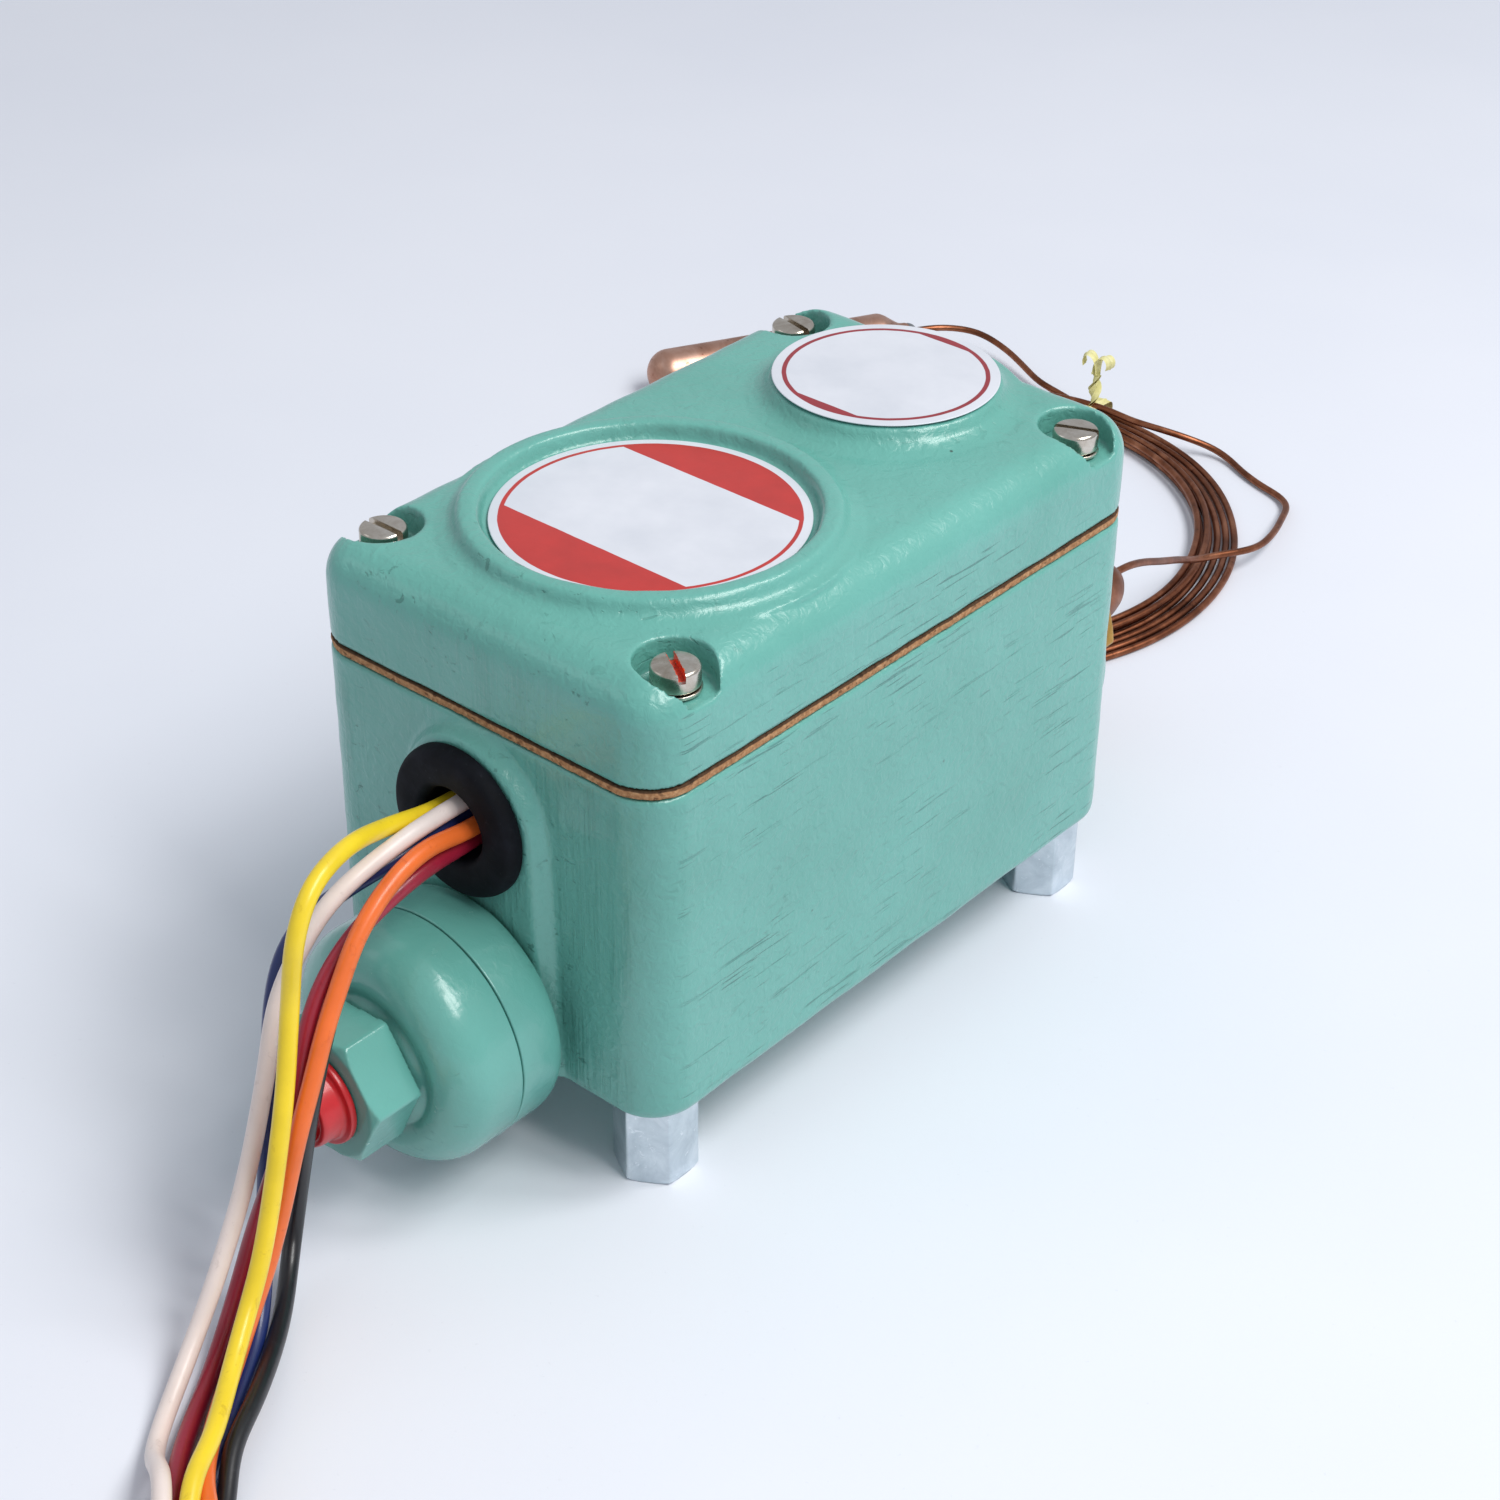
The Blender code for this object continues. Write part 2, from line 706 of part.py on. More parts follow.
def bellows(name, axis):
    """Convoluted metal bellows with a clear bore for its push rod."""
    outer, inner = 15.5, 11.4
    start, stop, folds = 70.3, 83.0, 4
    pitch = (stop - start) / folds
    profile = [(3.2, start)]
    for i in range(folds):
        y = start + i * pitch
        profile += [
            (inner, y + 0.02 * pitch),
            (outer, y + 0.3 * pitch),
            (outer, y + 0.7 * pitch),
        ]
    profile += [(inner, stop), (3.2, stop)]
    return turned(name, profile, 16, PHOSPHOR, axis, (0, 0, UNIT_Z))


bellows("pressure_bellows", "-Y")
bellows("comp_bellows", "+Y")


def push_rod(name, axis, tip):
    profile = [
        (0, tip),
        (1.9, tip),
        (2.5, tip + 0.7),
        (2.5, 83.3),
        (9.6, 83.3),
        (10.0, 83.7),
        (10.0, 84.3),
        (9.6, 84.7),
        (0, 84.7),
    ]
    sign = -1 if axis == "-Y" else 1
    return turned(
        name, profile, 16, STEEL, axis, (0, 0, UNIT_Z), origin=(0, sign * 60.0, UNIT_Z)
    )


push_rod("pressure_push_rod", "-Y", 13.8)
push_rod("comp_push_rod", "+Y", -10.2)

# =============================================================================
# switch mechanism inside the housing

BRACKET_Z0, BRACKET_Z1 = 21.2, 23.2


def mechanism_bracket():
    plate = finish(
        "mechanism_bracket",
        bm_prism(rounded_rect(28.0, 44.0, 2.0, 2), BRACKET_Z0, BRACKET_Z1),
        STEEL,
    )
    plate.location = (0, -3.0 * MM, 0)
    for sign in (-1, 1):
        a, b = sorted((sign * 19.0, sign * 21.0))
        outline = [(-44.0, 22.0), (-4.0, 22.0), (-4.0, 49.0), (-8.0, 52.0), (-19.0, 54.0), (-19.0, 82.5), (-20.5, 84.0), (-42.5, 84.0), (-44.0, 82.5)]
        bm = bmesh.new()
        skin(bm, [ring_of(bm, [(x, y, z) for y, z in outline]) for x in (a, b)])
        combine(plate, finish("ear_blank", bm, None), "UNION")
    outline = [(-14.0, 22.0), (14.0, 22.0), (14.0, 60.0), (12.0, 62.0), (-12.0, 62.0), (-14.0, 60.0)]
    bm = bmesh.new()
    skin(bm, [ring_of(bm, [(x, y, z) for x, z in outline]) for y in (33.0, 35.0)])
    combine(plate, finish("end_wall_blank", bm, None), "UNION")
    drill(plate, 1.8, -24, 24, "+X", (0, PIVOT_Y, PIVOT_Z), 16)
    for y, z in SWITCH_SCREWS:
        drill(plate, 1.9, -24, 24, "+X", (0, y, z), 12)
    drill(plate, 2.9, 30, 38, "+Y", (0, 0, SPRING_Z), 16)
    drill(plate, 3.4, 30, 38, "+Y", (0, 0, UNIT_Z), 16)
    for x, y in BRACKET_SCREWS:
        drill(plate, 1.9, 18, 26, "+Z", (x, y, 0), 16)
    return plate


SWITCH_SCREWS = ((-25.0, 43.5), (-35.0, 81.5))
mechanism_bracket()

for name, (x, y) in zip(("bracket_screw_front", "bracket_screw_rear"), BRACKET_SCREWS):
    screw = turned(
        name,
        [(0, 18.2), (1.5, 18.2), (1.5, 23.5), (2.9, 23.5), (2.9, 24.8), (2.2, 25.5), (0, 25.7)],
        16,
        STEEL,
        centre=(x, y, 0),
    )
    combine(screw, finish("slot", bm_box(x - 4, x + 4, y - 0.4, y + 0.4, 24.7, 27), None))

turned(
    "pivot_pin",
    [(0, -22.6), (1.2, -22.6), (1.5, -22.2), (1.5, 21.3), (2.7, 21.3), (2.7, 22.3), (2.2, 22.8), (0, 22.8)],
    16,
    STEEL,
    "+X",
    (0, PIVOT_Y, PIVOT_Z),
)


def balance_lever():
    outline = [(-8, 24.6), (8, 24.6), (8, 39.5), (12.5, 44.5), (12.5, 66), (-12.5, 66), (-12.5, 44.5), (-8, 39.5)]
    bm = bmesh.new()
    skin(bm, [ring_of(bm, [(x, y, z) for x, z in outline]) for y in (-13.5, -10.5)])
    lever = finish("balance_lever", bm, STEEL, origin=(0, PIVOT_Y, PIVOT_Z))
    hub = turned(
        "hub_blank", [(0, -17.5), (4.0, -17.5), (4.0, 17.5), (0, 17.5)], 24, None, "+X", (0, PIVOT_Y, PIVOT_Z)
    )
    combine(lever, hub, "UNION")
    return drill(lever, 1.8, -22, 22, "+X", (0, PIVOT_Y, PIVOT_Z), 16)


balance_lever()


def snap_switch(name, side):
    """Moulded switch body with its three terminal blades and the plunger's collar."""
    a, b = sorted((side * 0.7, side * 18.3))
    bm = bmesh.new()
    rings = []
    for inset, z in ((0.8, 38.0), (0.0, 38.8), (0.0, 86.2), (0.8, 87.0)):
        rings.append(
            ring_of(
                bm,
                [
                    (a + inset, -40.0 + inset, z),
                    (b - inset, -40.0 + inset, z),
                    (b - inset, -20.0 - inset, z),
                    (a + inset, -20.0 - inset, z),
                ],
            )
        )
    skin(bm, rings)
    body = finish(name, bm, PHENOLIC)
    cx = side * PLUNGER_X
    collar = bm_prism(circle(3.4, 20), 17.5, 22.0)
    collar.transform(axis_matrix("-Y", (cx, 0, PLUNGER_Z)))
    combine(body, finish("collar_blank", collar, None), "UNION")
    for z in (52.0, 62.5, 73.0):
        combine(body, finish("blade_blank", bm_box(cx - 2.4, cx + 2.4, -44.3, -38.0, z - 0.5, z + 0.5), None), "UNION")
    drill(body, 2.1, 14.0, 26.5, "-Y", (cx, 0, PLUNGER_Z), 16)
    for y, z in SWITCH_SCREWS:
        drill(body, 1.9, -24, 24, "+X", (0, y, z), 12)
    return body


for side_name, side in (("left", -1), ("right", 1)):
    snap_switch(f"snap_switch_{side_name}", side)
    turned(
        f"switch_plunger_{side_name}",
        [(0, 13.8), (1.2, 13.8), (1.8, 14.4), (1.8, 24.6), (0, 24.6)],
        16,
        PLATE,
        "-Y",
        (side * PLUNGER_X, 0, PLUNGER_Z),
        origin=(side * PLUNGER_X, -20.0, PLUNGER_Z),
    )

for name, (y, z) in zip(("switch_mount_screw_lower", "switch_mount_screw_upper"), SWITCH_SCREWS):
    turned(
        name,
        [(0, -23.4), (1.2, -23.4), (1.6, -22.9), (1.6, 21.3), (3.0, 21.3), (3.0, 22.6), (2.4, 23.2), (0, 23.4)],
        16,
        STEEL,
        "+X",
        (0, y, z),
    )


def range_spring():
    """Coil spring between the lever's upper arm and the adjusting stud's seat."""
    wire, mean_r, turns = 1.5, 4.8, 6.2
    rise = 28.2 - wire
    count = int(turns * 8)
    pts = []
    for i in range(count + 1):
        t = i / count
        a = 2 * math.pi * turns * t
        pts.append((mean_r * math.cos(a), -10.2 + wire / 2 + rise * t, SPRING_Z + mean_r * math.sin(a)))
    return tube("range_spring", pts, wire, SPRING, 1)


range_spring()

turned(
    "adjusting_stud",
    [(0, 18.4), (6.4, 18.4), (6.8, 18.8), (6.8, 19.8), (6.4, 20.2), (2.5, 20.2), (2.5, 47.4), (1.9, 48.0), (0, 48.0)],
    20,
    STEEL,
    "+Y",
    (0, 0, SPRING_Z),
    origin=(0, 35.0, SPRING_Z),
)
nut = hex_solid(9.5, 35.3, 39.5, 0.5, 0.0, "+Y", (0, 0, SPRING_Z))
nut.name = "adjusting_nut"
nut.data.materials.append(BRASS)
drill(nut, 2.8, 30, 45, "+Y", (0, 0, SPRING_Z), 20)
for vert in nut.data.vertices:
    vert.co.y -= 35.3 * MM
    vert.co.z -= SPRING_Z * MM
nut.location = (0, 35.3 * MM, SPRING_Z * MM)

# =============================================================================
# free cords: six lead wires, wound together into one small coil in front

HOLE = {"yellow": (-3.1, 1.8), "white": (0.5, 3.6), "orange": (3.5, 0.6), "red": (2.3, -2.8), "black": (-2.2, -2.9), "blue": (-0.1, 0.2)}
BLADE = {"yellow": (-9.45, 73.0), "blue": (-9.45, 62.5), "black": (-9.45, 52.0), "white": (9.45, 73.0), "orange": (9.45, 62.5), "red": (9.45, 52.0)}
WIRE = {
    "yellow": (0.85, 0.62, 0.10),
    "white": (0.75, 0.74, 0.72),
    "orange": (0.85, 0.30, 0.08),
    "red": (0.60, 0.05, 0.06),
    "black": (0.02, 0.02, 0.02),
    "blue": (0.10, 0.32, 0.62),
}
LEADS = {
    "yellow": [(-1.9, -81.5, 67.9), (1.8, -92.9, 71.7), (4.7, -102.6, 70.8), (5.8, -107.3, 64.5), (5.5, -109.0, 54.1), (9.3, -115.0, 40.6), (11.1, -118.5, 34.0), (12.1, -121.5, 26.6), (13.6, -126.3, 17.0), (15.0, -130.5, 11.8), (17.8, -135.3, 9.3), (23.3, -142.7, 8.3), (28.1, -149.1, 8.4), (32.4, -156.2, 9.0)],
    "white": [(1.1, -81.8, 66.4), (-0.2, -94.8, 62.1), (-1.4, -100.2, 56.1), (-2.3, -105.3, 47.9), (0.0, -111.1, 36.9), (4.4, -120.2, 25.1), (7.5, -130.2, 13.4), (9.5, -137.8, 5.7), (18.3, -152.4, 2.1), (29.3, -159.2, 9.2)],
    "orange": [(3.9, -78.7, 65.0), (5.4, -88.7, 63.4), (6.3, -96.1, 58.5), (7.4, -100.8, 53.2), (8.5, -105.3, 47.8), (10.2, -110.6, 40.3), (10.8, -113.9, 34.8), (10.6, -116.2, 28.2), (10.2, -117.7, 22.8), (10.0, -120.2, 16.2), (10.6, -123.1, 11.8), (11.6, -126.3, 8.8), (13.6, -130.3, 6.6), (16.7, -135.3, 5.2), (20.3, -140.8, 4.7), (25.2, -147.2, 4.8), (31.9, -154.0, 5.9)],
    "red": [(3.5, -76.2, 61.3), (4.4, -85.9, 60.8), (3.7, -95.0, 56.7), (3.8, -100.7, 52.2), (4.9, -105.2, 47.6), (7.4, -111.3, 37.2), (6.9, -116.2, 26.0), (5.7, -120.4, 15.9), (6.6, -126.4, 5.9), (12.1, -136.1, 1.8), (21.8, -150.0, 2.6), (29.8, -158.4, 4.4)],
    "blue": [(0.4, -81.9, 63.2), (-3.2, -90.5, 59.7), (-6.3, -96.3, 55.2), (-7.0, -100.2, 50.2), (-5.4, -104.2, 43.6), (-1.5, -109.0, 34.7), (2.8, -115.0, 20.8), (5.9, -119.5, 9.0), (12.1, -126.7, 3.3), (18.5, -135.9, 1.8), (25.3, -145.8, 1.6), (31.3, -156.1, 1.6)],
    "black": [(-0.1, -78.4, 60.3), (-0.2, -86.2, 56.4), (1.7, -94.8, 50.6), (5.3, -102.6, 44.4), (7.2, -108.1, 35.0), (3.3, -108.4, 18.7), (3.4, -111.7, 6.2), (12.7, -122.6, 2.8), (23.0, -136.4, 4.2), (28.6, -146.1, 4.2), (32.0, -150.0, 2.8), (35.4, -153.6, 1.7)],
}
# Place of each lead in the coil: column (from the inside) and block of rows.
COIL_PLACE = {"black": (0, 0), "blue": (1, 0), "red": (2, 0), "orange": (0, 1), "yellow": (1, 1), "white": (2, 1)}


def coil_entry(column, block):
    """The straight run that meets the coil's side along the tangent of its own turn."""
    r, z = COIL_COLUMNS[column], COIL_ROWS[block]
    ahead = Vector((math.sin(math.radians(COIL_HEADING)), -math.cos(math.radians(COIL_HEADING)), 0.0))
    aside = Vector((-ahead.y, ahead.x, 0.0))
    back = math.sqrt(COIL_RO**2 - (r - LEAD_D / 2) ** 2) + 0.5
    on_line = Vector((COIL_X, COIL_Y, 0.0)) - aside * r
    start, end = on_line - ahead * (back + 8.0), on_line - ahead * back
    return [(start.x, start.y, z if block == 0 else z - 1.2), (end.x, end.y, z)]


for colour, route in LEADS.items():
    hx, hz = HOLE[colour]
    bx, bz = BLADE[colour]
    hz += GROMMET_Z
    start = [
        (bx, -45.3, bz),
        (bx * 0.97 + hx * 0.03, -47.5, bz * 0.97 + hz * 0.03),
        (hx * 0.93 + bx * 0.07, -56.0, hz * 0.85 + bz * 0.15),
        (hx, -61.5, hz),
        (hx, -70.0, hz),
    ]
    tube(
        f"lead_{colour}",
        smooth_route(start + route + coil_entry(*COIL_PLACE[colour]), 9.0),
        LEAD_D,
        material(f"lead_{colour}_sheath", WIRE[colour], 0.45),
    )

turned(
    "lead_coil",
    [
        (COIL_RI, 0.9),
        (COIL_RI + 0.9, 0.0),
        (COIL_RO - 0.9, 0.0),
        (COIL_RO, 0.9),
        (COIL_RO, COIL_H - 0.9),
        (COIL_RO - 0.9, COIL_H),
        (COIL_RI + 0.9, COIL_H),
        (COIL_RI, COIL_H - 0.9),
    ],
    24,
    material("lead_coil_sheath", (0.55, 0.40, 0.25), 0.5),
    centre=(COIL_X, COIL_Y, 0),
)

# =============================================================================
# capillary tube, its coil and the sensing bulb

CAPILLARY = [
    (0.0, 118.3, 28.2),
    (0.0, 123.0, 27.8),
    (-1.0, 130.5, 25.2),
    (-2.6, 140.5, 20.6),
    (-6.2, 153.2, 14.2),
    (-9.2, 162.8, 9.0),
    (-9.8, 168.6, 6.5),
    (-8.2, 174.2, 5.8),
    (-5.8, 178.9, 5.5),
    (-4.8, 185.5, 4.5),
    (-6.4, 194.3, 3.5),
    (-10.3, 205.2, 2.2),
    (-13.0, 211.4, 1.5),
    (-17.2, 214.6, 1.2),
    (-22.6, 216.2, 1.1),
    (-30.0, 219.2, 1.1),
    (-36.6, 222.7, 1.3),
    (-41.2, 223.2, 2.2),
    (-45.2, 221.2, 3.6),
    (-49.4, 218.9, 4.9),
    (-54.4, 217.0, 5.7),
    (-60.0, 216.2, 5.8),
]
tube("capillary_lead", smooth_route(CAPILLARY, 4.0), CAP_D, COPPER)

turned(
    "capillary_coil",
    [
        (RING_RI, 0.7),
        (RING_RI + 0.7, 0.0),
        (RING_RO - 0.7, 0.0),
        (RING_RO, 0.7),
        (RING_RO, RING_H - 0.7),
        (RING_RO - 0.7, RING_H),
        (RING_RI + 0.7, RING_H),
        (RING_RI, RING_H - 0.7),
    ],
    38,
    COPPER,
    centre=(RING_X, RING_Y, 0),
)

BULB_DIR = Vector((0.451, 0.892, 0.0)).normalized()
BULB_A = Vector((-164.0, 155.0, BULB_R))
BULB_B = BULB_A + BULB_DIR * BULB_LEN


def sensing_bulb():
    """Closed copper tube with a domed end and a spun-down neck that the capillary enters."""
    r, n = BULB_R, BULB_LEN
    profile = [(0.0, 0.0)] + [(r * math.sin(math.radians(a)), r * (1 - math.cos(math.radians(a)))) for a in (25, 50, 72, 90)]
    profile += [(r, n - 9.0), (r * 0.93, n - 7.4), (r * 0.62, n - 4.6), (r * 0.42, n - 2.4), (r * 0.36, n), (0.0, n)]
    bm = bm_turned(profile, 18)
    turn = BULB_DIR.to_track_quat("Z", "Y").to_matrix().to_4x4()
    bm.transform(Matrix.Translation(BULB_A) @ turn)
    return finish("sensing_bulb", bm, BRIGHT_COPPER)


sensing_bulb()
TAIL = [
    tuple(BULB_B + BULB_DIR * 0.4),
    tuple(BULB_B + BULB_DIR * 4.0),
    (-126.6, 227.2, 6.2),
    (-119.5, 231.6, 5.6),
    (-110.0, 231.0, 4.2),
    (-101.0, 227.4, 3.2),
    (-94.0, 224.3, 2.4),
    (-88.0, 223.9, 1.6),
]
tube("capillary_tail", smooth_route(TAIL, 4.0), CAP_D, COPPER)


def coil_tie():
    """Paper-covered wire tie: bent over the coil, twisted, its two ends standing up and apart."""
    pts_y = (RING_Y + RING_RI - 1.2, RING_Y + RING_RO + 1.2)
    bm = bmesh.new()
    outline = [
        (pts_y[0], 0.2),
        (pts_y[0] + 0.8, 0.2),
        (pts_y[0] + 0.8, RING_H + 0.35),
        (pts_y[1] - 0.8, RING_H + 0.35),
        (pts_y[1] - 0.8, 0.2),
        (pts_y[1], 0.2),
        (pts_y[1], RING_H + 1.2),
        (pts_y[0], RING_H + 1.2),
    ]
    skin(bm, [ring_of(bm, [(x, y, z) for y, z in outline]) for x in (RING_X - 1.8, RING_X + 1.8)])
    tie = finish("coil_tie", bm, TIE)
    stem = bmesh.new()
    skin(
        stem,
        [
            ring_of(stem, [(RING_X + dx + px, RING_Y + 66.0 + dy + py, z) for px, py in circle(r, 10)])
            for dx, dy, z, r in ((0, 0, RING_H + 0.8, 1.5), (-0.5, 1.0, 8.0, 1.2), (-1.0, 2.0, 12.5, 1.4), (-1.2, 2.6, 16.5, 2.4), (-1.3, 2.9, 19.8, 2.2))
        ],
    )
    combine(tie, finish("stem_blank", stem, None), "UNION")
    return tie


coil_tie()


def lead_tie():
    """The same kind of tie, bent over the small coil of leads."""
    bm = bmesh.new()
    x0, x1 = COIL_RI - 0.4, COIL_RO + 0.4
    outline = [(x0 - 0.7, 0.2), (x0, 0.2), (x0, COIL_H + 0.3), (x1, COIL_H + 0.3), (x1, 0.2), (x1 + 0.7, 0.2), (x1 + 0.7, COIL_H + 1.0), (x0 - 0.7, COIL_H + 1.0)]
    skin(bm, [ring_of(bm, [(COIL_X + x, COIL_Y + y, z) for x, z in outline]) for y in (-1.8, 1.8)])
    return finish("lead_tie", bm, TIE)


lead_tie()
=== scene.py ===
"""Looks of the two-circuit pressure switch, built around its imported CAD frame.

Shapes below are given in millimetres in the CAD source's own local frame: X across the
short front face, Y from the pressure port to the rear bellows, Z up from the surface
that the standoffs stand on. to_world() puts them in the row frame, in metres.
"""

import math

import bmesh
import bpy
import numpy as np
from mathutils import Matrix, Vector


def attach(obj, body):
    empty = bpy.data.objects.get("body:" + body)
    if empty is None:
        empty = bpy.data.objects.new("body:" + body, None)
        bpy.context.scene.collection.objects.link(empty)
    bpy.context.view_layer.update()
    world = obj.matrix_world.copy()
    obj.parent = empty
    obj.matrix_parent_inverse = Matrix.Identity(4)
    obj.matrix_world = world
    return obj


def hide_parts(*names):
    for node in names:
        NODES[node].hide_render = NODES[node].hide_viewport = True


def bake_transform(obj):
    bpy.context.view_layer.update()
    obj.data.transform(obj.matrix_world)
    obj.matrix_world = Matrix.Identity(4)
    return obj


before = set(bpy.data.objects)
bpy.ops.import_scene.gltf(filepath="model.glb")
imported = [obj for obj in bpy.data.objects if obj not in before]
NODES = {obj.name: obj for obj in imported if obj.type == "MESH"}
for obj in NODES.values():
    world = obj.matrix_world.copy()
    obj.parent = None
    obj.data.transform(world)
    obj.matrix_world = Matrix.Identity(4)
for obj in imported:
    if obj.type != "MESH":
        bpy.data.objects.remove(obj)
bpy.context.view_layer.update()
MM = 0.001
SHIFT = Vector((0.0, -6.0, 0.0))
SCENE = bpy.context.scene
COLLECTION = SCENE.collection
rng = np.random.default_rng(7)


def W(x, y, z):
    """A point of the local millimetre frame, in the row frame."""
    return (Vector((x, y, z)) + SHIFT) * MM


# =============================================================================
# camera


def make_camera():
    data = bpy.data.cameras.new("camera")
    cam = bpy.data.objects.new("camera", data)
    COLLECTION.objects.link(cam)
    place = Vector((0.27751, -0.32831, 0.32326))
    ahead = (Vector((0.01345, -0.01865, 0.055)) - place).normalized()
    right = ahead.cross(Vector((0, 0, 1))).normalized()
    up = right.cross(ahead)
    roll = math.radians(0.60)
    side = right * math.cos(roll) + up * math.sin(roll)
    top = -right * math.sin(roll) + up * math.cos(roll)
    turn = Matrix((side, top, -ahead)).transposed().to_4x4()
    cam.matrix_world = Matrix.Translation(place) @ turn
    data.lens, data.sensor_width = 68.96, 36.0
    data.clip_start, data.clip_end = 0.01, 20.0
    SCENE.camera = cam


make_camera()

# =============================================================================
# materials


def srgb(r, g, b):
    out = []
    for v in (r, g, b):
        v /= 255.0
        out.append(v / 12.92 if v <= 0.04045 else ((v + 0.055) / 1.055) ** 2.4)
    return tuple(out)


class Mat:
    """A Principled material and short names for the nodes that feed it."""

    def __init__(self, name, **sockets):
        self.mat = bpy.data.materials.new(name)
        self.mat.use_nodes = True
        self.tree = self.mat.node_tree
        self.shader = self.tree.nodes["Principled BSDF"]
        self.co = self.new("ShaderNodeTexCoord").outputs["Object"]
        for key, value in sockets.items():
            self.shader.inputs[key.replace("_", " ")].default_value = value

    def new(self, kind, **props):
        node = self.tree.nodes.new(kind)
        for key, value in props.items():
            setattr(node, key, value)
        return node

    def feed(self, socket, value):
        if hasattr(value, "is_output"):
            self.tree.links.new(value, socket)
        elif isinstance(value, tuple) and len(value) == 3 and socket.type == "RGBA":
            socket.default_value = (*value, 1.0)
        else:
            socket.default_value = value

    def put(self, name, value):
        self.feed(self.shader.inputs[name], value)

    def stretch(self, x, y, z, turn=(0, 0, 0), vector=None):
        node = self.new("ShaderNodeMapping")
        self.feed(node.inputs["Vector"], vector or self.co)
        node.inputs["Scale"].default_value = (x, y, z)
        node.inputs["Rotation"].default_value = tuple(math.radians(a) for a in turn)
        return node.outputs["Vector"]

    def noise(self, scale, detail=3.0, rough=0.55, warp=0.0, vector=None):
        node = self.new("ShaderNodeTexNoise")
        self.feed(node.inputs["Vector"], vector or self.co)
        node.inputs["Scale"].default_value = scale
        node.inputs["Detail"].default_value = detail
        node.inputs["Roughness"].default_value = rough
        node.inputs["Distortion"].default_value = warp
        return node.outputs["Fac"]

    def cells(self, scale, feature="F1", vector=None, out="Distance", random=1.0):
        node = self.new("ShaderNodeTexVoronoi", feature=feature)
        self.feed(node.inputs["Vector"], vector or self.co)
        node.inputs["Scale"].default_value = scale
        node.inputs["Randomness"].default_value = random
        return node.outputs[out]

    def ramp(self, value, *stops, smooth=False):
        node = self.new("ShaderNodeValToRGB")
        self.feed(node.inputs["Fac"], value)
        ramp = node.color_ramp
        ramp.interpolation = "EASE" if smooth else "LINEAR"
        while len(ramp.elements) < len(stops):
            ramp.elements.new(0.5)
        for element, (at, colour) in zip(ramp.elements, stops):
            element.position = at
            if not isinstance(colour, tuple):
                colour = (colour, colour, colour)
            element.color = (*colour, 1.0)
        return node.outputs["Color"]

    def maths(self, operation, a, b=0.0, clamp=False):
        node = self.new("ShaderNodeMath", operation=operation, use_clamp=clamp)
        self.feed(node.inputs[0], a)
        self.feed(node.inputs[1], b)
        return node.outputs[0]

    def mix(self, share, a, b, kind="MIX"):
        node = self.new("ShaderNodeMix", data_type="RGBA", blend_type=kind)
        self.feed(node.inputs["Factor"], share)
        self.feed(node.inputs[6], a)
        self.feed(node.inputs[7], b)
        return node.outputs[2]

    def spread(self, value, low, high):
        """Maps 0..1 to low..high."""
        node = self.new("ShaderNodeMapRange")
        self.feed(node.inputs["Value"], value)
        node.inputs["To Min"].default_value = low
        node.inputs["To Max"].default_value = high
        return node.outputs["Result"]

    def window(self, value, low, high):
        """Maps low..high to 0..1, clamped."""
        node = self.new("ShaderNodeMapRange")
        self.feed(node.inputs["Value"], value)
        node.inputs["From Min"].default_value = low
        node.inputs["From Max"].default_value = high
        return node.outputs["Result"]

    def bump(self, height, distance, strength=1.0, under=None):
        node = self.new("ShaderNodeBump")
        self.feed(node.inputs["Height"], height)
        node.inputs["Distance"].default_value = distance
        node.inputs["Strength"].default_value = strength
        if under is not None:
            self.feed(node.inputs["Normal"], under)
        return node.outputs["Normal"]

    def split(self, vector):
        node = self.new("ShaderNodeSeparateXYZ")
        self.feed(node.inputs[0], vector)
        return node.outputs

    def facing(self, axis):
        """How far the surface faces along one axis, either way, from 0 to 1."""
        normal = self.new("ShaderNodeNewGeometry").outputs["Normal"]
        return self.maths("ABSOLUTE", self.split(normal)[axis])

    def edge(self, low, high):
        """1 on convex edges of the mesh, 0 elsewhere."""
        return self.window(self.new("ShaderNodeNewGeometry").outputs["Pointiness"], low, high)


PAINT_MID = srgb(100, 168, 157)
PAINT_DARK = srgb(86, 152, 140)
PAINT_LIGHT = srgb(112, 181, 171)


